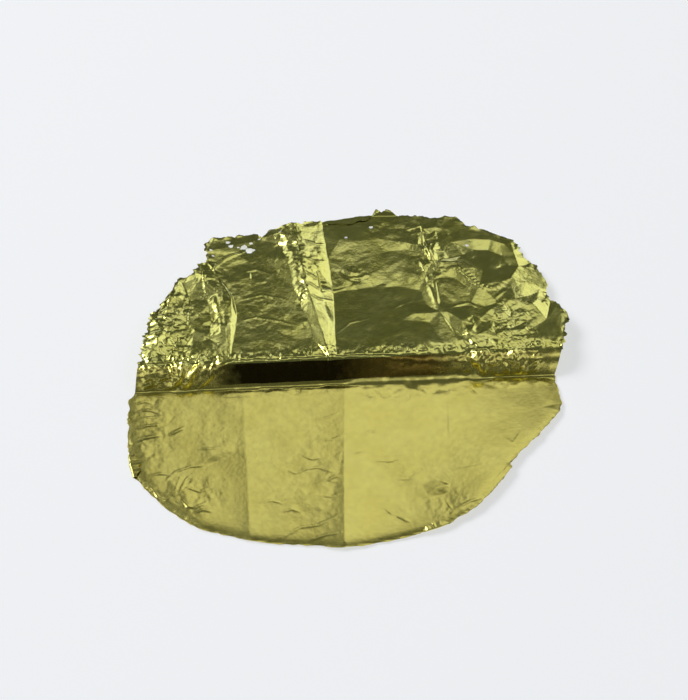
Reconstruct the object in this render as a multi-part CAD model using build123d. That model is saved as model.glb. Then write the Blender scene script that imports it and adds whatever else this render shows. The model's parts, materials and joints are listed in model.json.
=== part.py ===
from build123d import *
import os
import random
from math import cos, dist, radians, sin

# One torn sheet of metal foil, folded once across its width and laid open again.
# X runs along the fold, +Y from the flat near leaf to the raised far leaf, +Z up from the table.

# Sheet sizes, in millimetres
leaf_half_span = 40.0
near_leaf_depth = 37.0
far_leaf_depth = 38.0
foil_thickness = 0.1

# The fold: a valley at the spine, then a narrow riser that leans back, then a ridge
spine_height = 0.3
spine_run_out = 6.0
riser_length = 5.6
riser_lean = 58.0
crease_gap = 0.1

# How the two leaves lie
near_corner_lift = 2.6
near_lift_run = 12.0
back_edge_height = 0.15

# Crumples, tears and holes
crumple_height = 1.0
near_crinkle = 0.28
riser_crinkle = 0.3
far_crinkle = 0.5
tear_depth = 0.35
edge_curl_radius = 0.5
edge_curl_flat = 0.4
front_hem_radius = 0.4
front_hem_flat = 1.0
back_hem_radius = 0.3
back_hem_flat = 1.6
pinhole_radius = 0.32

# Whole numbers: facets along and across the panels, steps round a curl, sides of a hole
outer_columns = 12
inner_columns = 12
near_rows = 13
riser_rows = 4
front_rows = 8
back_rows = 7
gore_columns = 4
end_columns = 5
end_rows = 5
corner_rows = 2
strip_columns = 4
strip_rows = 2
curl_steps = 5
hole_sides = 6

# Places on the near leaf: share of the half span, share of the leaf's depth, share of the crumple height
near_left_end_share = (-0.975, 0.0, 0.0)
near_left_quarter_shares = [(-0.478, 0.0, 0.0), (-0.474, 0.45, 0.0), (-0.472, 0.928, 0.0)]
near_centre_shares = [(-0.007, 0.0, 0.0), (-0.03, 0.4, 0.0), (-0.059, 0.999, 0.0)]
near_right_quarter_shares = [(0.465, 0.0, 0.0), (0.44, 0.4, 0.3), (0.408, 0.896, 0.15)]
near_right_end_share = (0.964, 0.0, 0.0)
near_left_edge_shares = [near_left_end_share, (-1.002, 0.043, 0.25), (-1.011, 0.24, 0.2), (-1.002, 0.383, 0.1)]
edge_curl_shares = [(-1.002, 0.383, 0.1), (-0.98, 0.524, 0.1)]
near_left_corner_shares = [(-0.98, 0.524, 0.1), (-0.926, 0.6, 0.25)]
near_left_front_shares = [(-0.926, 0.6, 0.25), (-0.821, 0.737, 0.1), (-0.69, 0.845, 0.3), (-0.568, 0.893, 0.1),
                          (-0.472, 0.928, 0.0)]
near_left_middle_shares = [(-0.472, 0.928, 0.0), (-0.342, 0.954, 0.0), (-0.202, 0.974, 0.0), (-0.059, 0.999, 0.0)]
near_right_middle_shares = [(-0.059, 0.999, 0.0), (0.06, 0.984, 0.2), (0.175, 0.959, 0.05), (0.291, 0.93, 0.25)]
front_hem_shares = [(0.291, 0.93, 0.25), (0.408, 0.896, 0.15)]
near_right_front_shares = [(0.408, 0.896, 0.15), (0.539, 0.804, 0.3), (0.649, 0.668, 0.1), (0.709, 0.591, 0.2)]
near_right_edge_shares = [(0.709, 0.591, 0.2), (0.704, 0.554, 0.1), (0.764, 0.489, 0.0), (0.855, 0.384, 0.3),
                          (0.963, 0.238, 0.1), (0.978, 0.191, 0.0), (0.966, 0.088, 0.1), near_right_end_share]

# Places on the riser: share of the half span at the spine and at the ridge
riser_cut_shares = [(-0.975, -0.955), (-0.478, -0.478), (-0.024, -0.024), (0.465, 0.465), (0.964, 1.005)]

# Creases of the far leaf, from the ridge to the back edge, in the same three shares
left_streak_shares = [(-0.531, 0.0, 0.0), (-0.513, 0.42, 0.7), (-0.591, 0.617, 0.6), (-0.632, 0.731, 0.2)]
gore_left_shares = [(-0.077, 0.0, 0.0), (-0.13, 0.461, 1.0), (-0.191, 0.962, 0.2)]
far_centre_front_shares = [(-0.04, 0.0, 0.0), (-0.034, 0.498, 0.5)]
far_centre_back_shares = [(-0.034, 0.498, 0.5), (-0.058, 0.997, 0.6)]
star_front_shares = [(0.595, 0.0, 0.0), (0.455, 0.275, 0.9), (0.447, 0.637, 1.0)]
star_back_shares = [(0.447, 0.637, 1.0), (0.408, 1.004, 0.1)]
lens_shares = [(-0.034, 0.498, 0.5), (0.157, 0.597, 0.3), (0.346, 0.7, 0.5), (0.447, 0.637, 1.0)]
wavy_shares = [(0.447, 0.637, 1.0), (0.557, 0.632, 0.9), (0.66, 0.451, 0.9), (0.805, 0.48, 0.8), (0.95, 0.572, 0.0)]
right_end_crease_shares = [(0.899, 0.0, 0.0), (0.95, 0.2, 0.5), (0.986, 0.343, 0.0)]
flap_crease_shares = [(-0.631, 0.798, 0.9), (-0.359, 0.882, 0.6)]

# The far leaf's torn outline, from the left end of the ridge round to the right one
far_left_edge_shares = [(-0.955, 0.0, 0.0), (-0.939, 0.067, -0.1), (-0.917, 0.243, 0.1), (-0.899, 0.337, 0.0),
                        (-0.829, 0.459, 0.1)]
far_left_corner_shares = [(-0.829, 0.459, 0.1), (-0.767, 0.589, 0.1), (-0.7, 0.658, 0.2), (-0.632, 0.731, 0.2)]
beside_flap_shares = [(-0.632, 0.731, 0.2), (-0.631, 0.798, 0.9)]
behind_flap_shares = [(-0.359, 0.882, 0.6), (-0.318, 0.957, 0.4), (-0.22, 0.964, 0.2), (-0.191, 0.962, 0.2)]
flap_left_shares = [(-0.631, 0.798, 0.9), (-0.635, 0.868, 1.2)]
flap_back_shares = [(-0.635, 0.868, 1.2), (-0.581, 0.904, 1.5), (-0.464, 0.915, 1.4), (-0.377, 0.925, 1.1)]
flap_right_shares = [(-0.359, 0.882, 0.6), (-0.377, 0.925, 1.1)]
gore_back_shares = [(-0.191, 0.962, 0.2), (-0.157, 0.965, 0.3), (-0.111, 1.001, 0.6), (-0.058, 0.997, 0.6)]
back_hem_shares = [(-0.058, 0.997, 0.6), (0.075, 1.014, 0.5), (0.184, 1.026, 0.3)]
back_tab_root_shares = [(0.184, 1.026, 0.3), (0.306, 1.019, 0.3)]
back_tab_left_shares = [(0.184, 1.026, 0.3), (0.21, 1.057, 1.0)]
back_tab_tip_shares = [(0.21, 1.057, 1.0), (0.24, 1.045, 1.2), (0.273, 1.046, 1.0)]
back_tab_right_shares = [(0.306, 1.019, 0.3), (0.273, 1.046, 1.0)]
far_back_shares = [(0.306, 1.019, 0.3), (0.408, 1.004, 0.1)]
bowl_back_shares = [(0.408, 1.004, 0.1), (0.467, 1.001, 0.1), (0.594, 0.992, 0.1), (0.638, 0.933, 0.1),
                    (0.763, 0.858, 0.2), (0.844, 0.796, 0.2)]
bowl_right_shares = [(0.95, 0.572, 0.0), (0.93, 0.606, -0.2), (0.844, 0.796, 0.2)]
far_right_edge_shares = [(0.986, 0.343, 0.0), (0.986, 0.424, -0.4), (0.971, 0.541, -0.2), (0.95, 0.572, 0.0)]
right_end_edge_shares = [(1.005, 0.0, 0.0), (1.031, 0.119, -0.8), (1.047, 0.209, -0.9)]
right_end_back_shares = [(0.986, 0.343, 0.0), (1.026, 0.316, -0.7), (1.047, 0.209, -0.9)]

# Pinholes in the far leaf: share of the half span, share of its depth, share of the pinhole radius
pinhole_shares = [(-0.604, 0.79, 0.8), (-0.568, 0.785, 0.7), (-0.497, 0.845, 0.8), (-0.478, 0.812, 0.9),
                  (-0.43, 0.826, 0.9), (-0.402, 0.8, 1.6), (0.05, 0.87, 0.7), (0.175, 0.94, 0.8),
                  (0.63, 0.79, 0.8), (0.235, 1.033, 1.0)]

# Worked out from the sizes above
half_gap = crease_gap / 2
lean = radians(riser_lean)
spine_axis = Vector(0, 0, spine_height + foil_thickness)
riser_up = Vector(0, cos(lean), sin(lean))
riser_back = Vector(0, sin(lean), -cos(lean))
ridge_axis = spine_axis + riser_up * riser_length + riser_back * foil_thickness
through_foil = Vector(0, 0, foil_thickness)


def near_place(place):
    """A point on the near leaf's underside, which runs out flat from the spine and lifts to the right."""
    across, depth, rise = place
    from_spine = depth * near_leaf_depth
    lift = near_corner_lift * max(0, across) ** 1.5 * min(1, from_spine / near_lift_run) ** 2
    stand = spine_height * (1 - min(1, from_spine / spine_run_out))
    height = stand + lift + rise * crumple_height * min(1, from_spine / spine_run_out)
    return Vector(across * leaf_half_span, -half_gap - from_spine, max(0, height))


def far_place(place):
    """A point on the far leaf's underside, which falls from the ridge to the table at the back."""
    across, depth, rise = place
    fall = (ridge_axis.Z - back_edge_height) * depth
    height = ridge_axis.Z - fall + rise * crumple_height
    return Vector(across * leaf_half_span, ridge_axis.Y + half_gap + depth * far_leaf_depth, max(0, height))


def riser_place(place):
    """A point on the riser's front face, between its two creases."""
    across, climb, swell = place
    along = half_gap + climb * (riser_length - crease_gap)
    return (spine_axis + Vector(across * leaf_half_span, 0, 0) + riser_up * along
            + riser_back * (swell * riser_crinkle))


def between(start, end, part):
    return tuple(a + (b - a) * part for a, b in zip(start, end))


def spread(shares, count):
    """The same open line set out in equal steps, with its two ends kept."""
    reach = [0.0]
    for start, end in zip(shares, shares[1:]):
        reach.append(reach[-1] + dist(start[:2], end[:2]))
    steps = [shares[0]]
    for step in range(1, count):
        target = reach[-1] * step / count
        leg = max(i for i in range(len(shares) - 1) if reach[i] <= target)
        steps.append(between(shares[leg], shares[leg + 1], (target - reach[leg]) / (reach[leg + 1] - reach[leg])))
    return steps + [shares[-1]]


def torn(shares, count, seed):
    """An outline stretch in equal steps, with small teeth between its two ends."""
    draw = random.Random(seed)
    steps = spread(shares, count)
    tooth = tear_depth / leaf_half_span
    inner = [(a + tooth * draw.uniform(-1, 1), b + tooth * draw.uniform(-1, 1), c) for a, b, c in steps[1:-1]]
    return [steps[0]] + inner + [steps[-1]]


def chain(*stretches):
    """Several stretches joined end to end into one edge."""
    joined = list(stretches[0])
    for stretch in stretches[1:]:
        joined += stretch[1:]
    return joined


def crumpled(front, back, left, right, crinkle, seed):
    """A grid of places stretched between four edges, with its inner points crumpled at random."""
    draw = random.Random(seed)
    columns, rows = len(front) - 1, len(left) - 1
    grid = []
    for row in range(rows + 1):
        v = row / rows
        line = []
        for column in range(columns + 1):
            u = column / columns
            sides = between(left[row], right[row], u)
            ends = between(front[column], back[column], v)
            corners = between(between(front[0], front[-1], u), between(back[0], back[-1], u), v)
            line.append(tuple(a + b - c for a, b, c in zip(sides, ends, corners)))
        grid.append(line)
    loose = [list(line) for line in grid]
    for row in range(1, rows):
        for column in range(1, columns):
            aside, ahead = draw.uniform(-0.2, 0.2), draw.uniform(-0.2, 0.2)
            here, east, west = grid[row][column], grid[row][column + 1], grid[row][column - 1]
            north, south = grid[row + 1][column], grid[row - 1][column]
            shifts = [(e - w) * aside + (n - s) * ahead for e, w, n, s in zip(east, west, north, south)]
            bump = crinkle * draw.uniform(-1, 1) / crumple_height
            loose[row][column] = (here[0] + shifts[0], here[1] + shifts[1], here[2] + bump)
    return loose


def foil_solid(lower, upper):
    """The closed solid between two grids of points, in flat three-sided facets."""
    rows, columns = len(lower) - 1, len(lower[0]) - 1
    facets = []
    for row in range(rows):
        for column in range(columns):
            for grid in (lower, upper):
                a, b = grid[row][column], grid[row][column + 1]
                c, d = grid[row + 1][column + 1], grid[row + 1][column]
                facets += [(a, b, c), (a, c, d)] if (row + column) % 2 else [(a, b, d), (b, c, d)]
    rim = [(0, column) for column in range(columns)] + [(row, columns) for row in range(rows)]
    rim += [(rows, column) for column in range(columns, 0, -1)] + [(row, 0) for row in range(rows, 0, -1)]
    for (i, j), (k, m) in zip(rim, rim[1:] + rim[:1]):
        facets += [(lower[i][j], lower[k][m], upper[k][m]), (lower[i][j], upper[k][m], upper[i][j])]
    solid = Solid(Shell([Face(Wire.make_polygon(facet)) for facet in facets]))
    return solid if solid.volume > 0 else Solid(-solid.shell())


def panel(place, grid, thickness):
    """A panel of foil of even thickness over a grid of places."""
    lower = [[place(spot) for spot in line] for line in grid]
    return foil_solid(lower, [[point + thickness for point in line] for line in lower])


def curled(place, edge, radius, flat, turns_back):
    """A strip that goes on from an edge and curls up and back over the leaf, with a flat run at its end."""
    root = [place(spot) for spot in edge]
    along = (root[-1] - root[0]).normalized()
    outward = Vector(along.Y, -along.X, 0).normalized() * turns_back
    upward = Vector(0, 0, 1)
    lower, upper = [], []
    for step in range(curl_steps + 1):
        turn = radians(180) * step / curl_steps
        reach = outward * (radius * sin(turn)) + upward * (radius * (1 - cos(turn)))
        inward = (upward * cos(turn) - outward * sin(turn)) * foil_thickness
        lower.append([point + reach for point in root])
        upper.append([point + reach + inward for point in root])
    lower.append([point - outward * flat for point in lower[-1]])
    upper.append([point - outward * flat for point in upper[-1]])
    return foil_solid(lower, upper)


# Near leaf edges, from the spine to the torn front edge
near_spine_left = spread([near_left_end_share, near_left_quarter_shares[0]], outer_columns)
near_spine_middle_left = spread([near_left_quarter_shares[0], near_centre_shares[0]], inner_columns)
near_spine_middle_right = spread([near_centre_shares[0], near_right_quarter_shares[0]], inner_columns)
near_spine_right = spread([near_right_quarter_shares[0], near_right_end_share], outer_columns)
near_left_quarter = spread(near_left_quarter_shares, near_rows)
near_centre = spread(near_centre_shares, near_rows)
near_right_quarter = spread(near_right_quarter_shares, near_rows)
edge_curl = torn(edge_curl_shares, strip_columns, 1)
front_hem = torn(front_hem_shares, strip_columns, 2)
near_left_edge = chain(torn(near_left_edge_shares, near_rows - strip_columns - corner_rows, 3), edge_curl,
                       torn(near_left_corner_shares, corner_rows, 4))
near_left_front = torn(near_left_front_shares, outer_columns, 5)
near_left_middle = torn(near_left_middle_shares, inner_columns, 6)
near_right_middle = chain(torn(near_right_middle_shares, inner_columns - strip_columns, 7), front_hem)
near_right_front = torn(near_right_front_shares, outer_columns, 8)
near_right_edge = torn(near_right_edge_shares, near_rows, 9)[::-1]

# Far leaf edges, from the ridge to the torn back edge
far_rows = front_rows + back_rows
ridge_left_end = spread([far_left_edge_shares[0], left_streak_shares[0]], outer_columns)
ridge_left = spread([left_streak_shares[0], gore_left_shares[0]], inner_columns)
ridge_gore = spread([gore_left_shares[0], far_centre_front_shares[0]], gore_columns)
ridge_right = spread([far_centre_front_shares[0], star_front_shares[0]], inner_columns)
ridge_outer = spread([star_front_shares[0], right_end_crease_shares[0]], outer_columns)
ridge_right_end = spread([right_end_crease_shares[0], right_end_edge_shares[0]], end_columns)
left_streak = spread(left_streak_shares, far_rows)
gore_left = spread(gore_left_shares, far_rows)
far_centre_front = spread(far_centre_front_shares, front_rows)
far_centre_back = spread(far_centre_back_shares, back_rows)
star_front = spread(star_front_shares, front_rows)
star_back = spread(star_back_shares, back_rows)
lens = spread(lens_shares, inner_columns)
wavy = spread(wavy_shares, outer_columns)
right_end_crease = spread(right_end_crease_shares, end_rows)
flap_crease = spread(flap_crease_shares, strip_columns)
back_hem = torn(back_hem_shares, strip_columns, 11)
back_tab_root = spread(back_tab_root_shares, strip_columns)
far_left_edge = torn(far_left_edge_shares, far_rows, 12)
far_left_corner = torn(far_left_corner_shares, outer_columns, 13)
far_left_back = chain(torn(beside_flap_shares, strip_rows, 14), flap_crease,
                      torn(behind_flap_shares, inner_columns - strip_rows - strip_columns, 15))
gore_back = torn(gore_back_shares, gore_columns, 16)
right_back = chain(back_hem, back_tab_root, torn(far_back_shares, inner_columns - 2 * strip_columns, 17))
bowl_back = torn(bowl_back_shares, outer_columns, 18)
bowl_right = torn(bowl_right_shares, back_rows, 19)
right_edge = chain(right_end_crease, torn(far_right_edge_shares, front_rows - end_rows, 20))
right_end_edge = torn(right_end_edge_shares, end_rows, 21)
right_end_back = torn(right_end_back_shares, end_columns, 22)

parts = {}


def add_leaf_panel(name, place, edges, crinkle, seed):
    parts[name] = panel(place, crumpled(*edges, crinkle, seed), through_foil)


# Near leaf, flat on the table: four panels between the quarter creases, a curled edge and a turned hem
add_leaf_panel("near_left_outer_panel", near_place,
               (near_spine_left, near_left_front, near_left_edge, near_left_quarter), near_crinkle, 31)
add_leaf_panel("near_left_inner_panel", near_place,
               (near_spine_middle_left, near_left_middle, near_left_quarter, near_centre), 0, 32)
add_leaf_panel("near_right_inner_panel", near_place,
               (near_spine_middle_right, near_right_middle, near_centre, near_right_quarter), near_crinkle, 33)
add_leaf_panel("near_right_outer_panel", near_place,
               (near_spine_right, near_right_front, near_right_quarter, near_right_edge), near_crinkle, 34)
parts["near_left_curled_edge"] = curled(near_place, edge_curl, edge_curl_radius, edge_curl_flat, 1)
parts["near_front_turned_hem"] = curled(near_place, front_hem, front_hem_radius, front_hem_flat, 1)

# Riser between the spine and the ridge
riser_names = ["riser_left_outer_panel", "riser_left_inner_panel", "riser_right_inner_panel",
               "riser_right_outer_panel"]
for index, name in enumerate(riser_names):
    (west_foot, west_head), (east_foot, east_head) = riser_cut_shares[index:index + 2]
    foot = spread([(west_foot, 0, 0), (east_foot, 0, 0)], inner_columns)
    head = spread([(west_head, 1, 0), (east_head, 1, 0)], inner_columns)
    west = spread([foot[0], head[0]], riser_rows)
    east = spread([foot[-1], head[-1]], riser_rows)
    grid = crumpled(foot, head, west, east, crumple_height, 41 + index)
    parts[name] = panel(riser_place, grid, riser_back * foil_thickness)

# Far leaf, which hangs from the ridge: panels between the creases that run to its back edge
add_leaf_panel("far_left_end_panel", far_place,
               (ridge_left_end, far_left_corner, far_left_edge, left_streak), far_crinkle, 51)
add_leaf_panel("far_left_panel", far_place,
               (ridge_left, far_left_back, left_streak, gore_left), far_crinkle, 52)
add_leaf_panel("far_centre_gore", far_place,
               (ridge_gore, gore_back, gore_left, chain(far_centre_front, far_centre_back)), far_crinkle / 2, 53)
add_leaf_panel("far_right_front_panel", far_place,
               (ridge_right, lens, far_centre_front, star_front), far_crinkle / 2, 54)
add_leaf_panel("far_right_lens_panel", far_place,
               (lens, right_back, far_centre_back, star_back), far_crinkle / 2, 55)
add_leaf_panel("far_right_wavy_panel", far_place,
               (ridge_outer, wavy, star_front, right_edge), far_crinkle, 56)
add_leaf_panel("far_right_bowl_panel", far_place,
               (wavy, bowl_back, star_back, bowl_right), far_crinkle / 2, 57)
add_leaf_panel("far_right_end_panel", far_place,
               (ridge_right_end, right_end_back, right_end_crease, right_end_edge), far_crinkle / 2, 58)
parts["far_back_folded_hem"] = curled(far_place, back_hem, back_hem_radius, back_hem_flat, -1)
add_leaf_panel("far_back_torn_tab", far_place,
               (back_tab_root, spread(back_tab_tip_shares, strip_columns),
                spread(back_tab_left_shares, strip_rows), spread(back_tab_right_shares, strip_rows)),
               far_crinkle / 2, 59)

# Turned strip at the back left, across a perforated crease
flap_start, flap_end = far_place(flap_crease_shares[0]), far_place(flap_crease_shares[1])
flap_along = (flap_end - flap_start).normalized()
flap_outward = Vector(-flap_along.Y, flap_along.X, 0).normalized()
flap_grid = crumpled(flap_crease, spread(flap_back_shares, strip_columns), spread(flap_left_shares, strip_rows),
                     spread(flap_right_shares, strip_rows), far_crinkle, 60)
parts["back_left_turned_flap"] = panel(lambda spot: far_place(spot) + flap_outward * crease_gap,
                                       flap_grid, through_foil)

# Pinholes, straight down through whichever panels they meet
for across, depth, width in pinhole_shares:
    foot = far_place((across, depth, 0))
    hole = extrude(Plane(Vector(foot.X, foot.Y, 0)) * RegularPolygon(pinhole_radius * width, hole_sides),
                   ridge_axis.Z + crumple_height)
    for name in ("far_left_panel", "back_left_turned_flap", "far_right_lens_panel", "far_right_bowl_panel",
                 "far_back_torn_tab"):
        cut = parts[name] - hole
        parts[name] = cut.solids()[0] if isinstance(cut, (Part, ShapeList, Compound)) else cut

# The origin is under the middle of the sheet, on the table
box = Compound(list(parts.values())).bounding_box()
to_origin = Vector(-(box.min.X + box.max.X) / 2, -(box.min.Y + box.max.Y) / 2, -box.min.Z)
os.makedirs("parts", exist_ok=True)
for name, solid in parts.items():
    export_step(Pos(to_origin) * solid, f"parts/{name}.step")

flap_lift = through_foil + flap_outward * half_gap
print("size", box.size)
print("origin shift", to_origin)
print("spine axis", spine_axis + to_origin)
print("ridge axis", ridge_axis + to_origin)
print("flap axis", flap_start + flap_lift + to_origin, "along", flap_along)
print("ridge turn to flat", riser_lean, "fall", (ridge_axis.Z - back_edge_height) / far_leaf_depth)
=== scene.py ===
import json
import math

import bpy
import numpy as np
from bpy.props import FloatProperty, FloatVectorProperty, PointerProperty
from mathutils import Matrix, Vector
from mathutils.geometry import delaunay_2d_cdt


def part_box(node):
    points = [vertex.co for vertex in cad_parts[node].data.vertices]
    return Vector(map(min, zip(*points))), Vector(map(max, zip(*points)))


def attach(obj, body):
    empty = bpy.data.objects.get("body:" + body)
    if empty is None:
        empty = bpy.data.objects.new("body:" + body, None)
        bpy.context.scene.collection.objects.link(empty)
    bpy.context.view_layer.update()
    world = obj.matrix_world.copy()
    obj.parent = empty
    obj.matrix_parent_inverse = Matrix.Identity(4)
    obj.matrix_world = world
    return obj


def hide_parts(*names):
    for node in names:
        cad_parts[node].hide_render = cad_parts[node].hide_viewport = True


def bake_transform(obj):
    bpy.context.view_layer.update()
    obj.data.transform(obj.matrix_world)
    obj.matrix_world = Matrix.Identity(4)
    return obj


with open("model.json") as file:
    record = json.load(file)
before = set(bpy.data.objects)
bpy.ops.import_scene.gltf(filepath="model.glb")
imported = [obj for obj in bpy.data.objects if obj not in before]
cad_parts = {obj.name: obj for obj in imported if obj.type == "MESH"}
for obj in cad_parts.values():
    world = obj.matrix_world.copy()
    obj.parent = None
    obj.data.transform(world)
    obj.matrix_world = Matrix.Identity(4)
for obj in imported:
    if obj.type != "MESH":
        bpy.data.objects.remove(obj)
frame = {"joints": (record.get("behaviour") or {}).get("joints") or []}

bl_info = {
    "name": "Folded Foil Sheet",
    "version": (1, 0, 0),
    "blender": (4, 5, 0),
    "location": "3D View > Sidebar > Foil",
    "description": "A torn sheet of metal foil, folded once and laid open, on a pale table",
    "category": "Object",
}

MM = 0.001
JOINTS = {joint["name"]: joint for joint in frame["joints"]}
SPINE = Vector(JOINTS["spine_crease"]["pos_m"])
RIDGE = Vector(JOINTS["ridge_crease"]["pos_m"])
RISER_LENGTH = (RIDGE - SPINE).length
RISER_LEAN = math.atan2(RIDGE.z - SPINE.z, RIDGE.y - SPINE.y)
PHOTO_MIDDLE = (344, 350)
PHOTO_LONG_SIDE = 700
CAMERA_SENSOR = 36.0
CLIP_START = 0.01
FLOOR_GLOW_SHARE = 0.5
TABLE_ROUGHNESS = 0.9
TABLE_SPECULAR = 0.1

# The raster that carries the sheet's heights, and the random facets on it; loose heights are in millimetres
RASTER_STEP = 0.12 * MM
SPAN_REACH_SHARE = 1.08
FRONT_REACH_SHARE = 1.06
BACK_REACH_SHARE = 1.1
SHEET_SEED = 7
FACET_JITTER_SHARE = 0.42
LOOSE_SPACING = 5.5 * MM
LOOSE_JITTER_SHARE = 0.35
LOOSE_GAP_SHARE = 0.45
LOOSE_HEIGHTS = {"near": 0.02, "far": 0.12}
LOOSE_SOFTENING = 1e-4
LOOSE_FALLOFF = 3
CREASE_STEPS = 40
AREA_REACH_SHARE = 1.35
LEAF_FADE = 0.6 * MM
NEAR_FADE = 1.0 * MM
LONG_FACET_AMOUNT_SHARE = 0.6
LONG_FACET_SIZE_SHARE = 0.9
LONG_FACET_STRETCH = 2.0
TINY = 1e-9
SLIVER_AREA = 1e-14
EDGE_SLACK = 1e-6
LAST_CELL = 1.001

# Wrinkles, creases and torn edges; a tear width is its least count of knots, steps for each knot and share
WRINKLE_STEPS = 24
WRINKLE_REACH_SHARE = 1.5
WRINKLE_END_SHARE = 0.04
WRINKLE_SWELL_POWER = 0.6
CENTRE_REACH_SHARE = 1.0
QUARTER_REACH_SHARE = 0.6
CREASE_LEAST_SHARE = 0.65
CREASE_GROWTH_SHARE = 0.7
EDGE_STEPS = 40
EDGE_SKIP = 5
DROOP_REACH = 0.8 * MM
LIP_REACH = 0.5 * MM
LIP_FACET = 1.1 * MM
LIP_PLAIN_SHARE = 0.3
LIP_RAGGED_SHARE = 0.7
TEAR_WIDTHS = ((3, 10, 0.9), (4, 4, 0.7))
TEAR_FINE_SHARE = 0.3
TEAR_FADE_STEPS = 3

# The fuzz along the ridge, and the calm foil beside the spine
FUZZ_PLACE = 0.9 * MM
FUZZ_REACH = 1.5 * MM
FUZZ_HEIGHT = 0.085 * MM
FUZZ_FACET = 0.45 * MM
FUZZ_WIDE_FACET = 0.6 * MM
FUZZ_STRETCH = 3.0
FUZZ_WIDE_STRETCH = 1.2
FUZZ_WIDE_SHARE = 0.7
SPINE_CALM_SHARE = 0.8
SPINE_CALM_REACH = 0.7 * MM

# How the bends change across the sheet. A ramp is the share of the half span where it starts and its
# steepness, and a wave of the sway is its rate, shift and share.
VALLEY_START = (-0.03, 8)
VALLEY_END = (0.48, 8)
SLUMP_RIGHT = (0.05, 2.2)
SLUMP_LEFT = (0.5, 6)
LIFT_RAMP = (0.06, 1.1)
SWAY_WAVES = ((23, 0, 1), (41, 1.3, 0.8), (87, 0.4, 0.5))
SWAY_REACH = 0.1 * MM
SPINE_BEND_SHARE = 1.6
SPINE_SWAY_SHARE = 0.5
FRAY_KNOTS = (60, 150)
FRAY_COARSE = 0.22 * MM
FRAY_FINE = 0.12 * MM
FLAT_START = -20 * MM
EVEN_REACH = 3.5 * MM
EVEN_LEAD = 0.5 * MM
REFERENCE_PART = 3
TABLE_CLEARANCE = 0.01 * MM

# Pinhole rims: share, count and shift of the waves round a rim, and how the mesh closes up on it
RIM_WAVES = ((0.28, 3, 9e3), (0.2, 5, 7e3))
RIM_NEAR_SHARES = (0.5, 1.6)
RIM_PULL_SHARE = 0.3

# Rolled and folded strips
STRIP_END_SHARE = 0.03
STRIP_LEAST_SHARE = 0.35
STRIP_FLAT_STEPS = 8
STRIP_FLAT_KNOTS = 12
STRIP_FLAT_SWAY = 0.3
STRIP_SAG_SHARE = 0.15
STRIP_RIPPLE_KNOTS = 15
STRIP_RIPPLE = 0.06 * MM
STRIP_PROBE = 2 * MM

# Foil finish: noise scales, details and the parts of their range that count
LOW_ROUGHNESS_SHARE = 0.88
HIGH_ROUGHNESS_SHARE = 1.15
CLOUD_DETAIL = 4
CLOUD_RANGE = (0.35, 0.65)
POLISH_SCALE = 900
POLISH_DETAIL = 3
POLISH_RANGE = (0.3, 0.7)
CRINKLE_DETAIL = 3

# Ranges of x over which shade is painted on the foil inside the fold, turning from dark to brownish, and the
# noise that frays them
FOLD_PAINTED_SHADE_LEFT = (-28 * MM, -20 * MM)
FOLD_PAINTED_SHADE_RIGHT = (15 * MM, 22 * MM)
FOLD_BROWN_SHADE_RANGE = (-2 * MM, 5 * MM)
FOLD_FRAY = 6 * MM
FOLD_FRAY_SCALE = 700
FOLD_FRAY_DETAIL = 2

# Lamps, seen from the sheet: azimuth, elevation, width and height in degrees, brightness, colour
WARM = (1.0, 0.985, 0.93)
WHITE = (1, 1, 1)
LAMPS = {
    "back_softbox": (21, 53, 34, 16, 0.76, WARM),
    "low_back_softbox": (5, 42.6, 70, 4.8, 0.28, WHITE),
    "right_strip": (44, 27, 46, 18, 1.1, WHITE),
    "left_strip": (-30, 26, 26, 14, 1.15, WHITE),
    "key_softbox": (-64, 48, 34, 24, 7.5, WHITE),
    "left_fill": (-115, 48, 50, 30, 0.45, WHITE),
    "right_fill": (115, 48, 56, 30, 0.45, WHITE),
    "front_fill": (180, 52, 90, 24, 0.36, WHITE),
}


# Sizes and colours that a user would change

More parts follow.
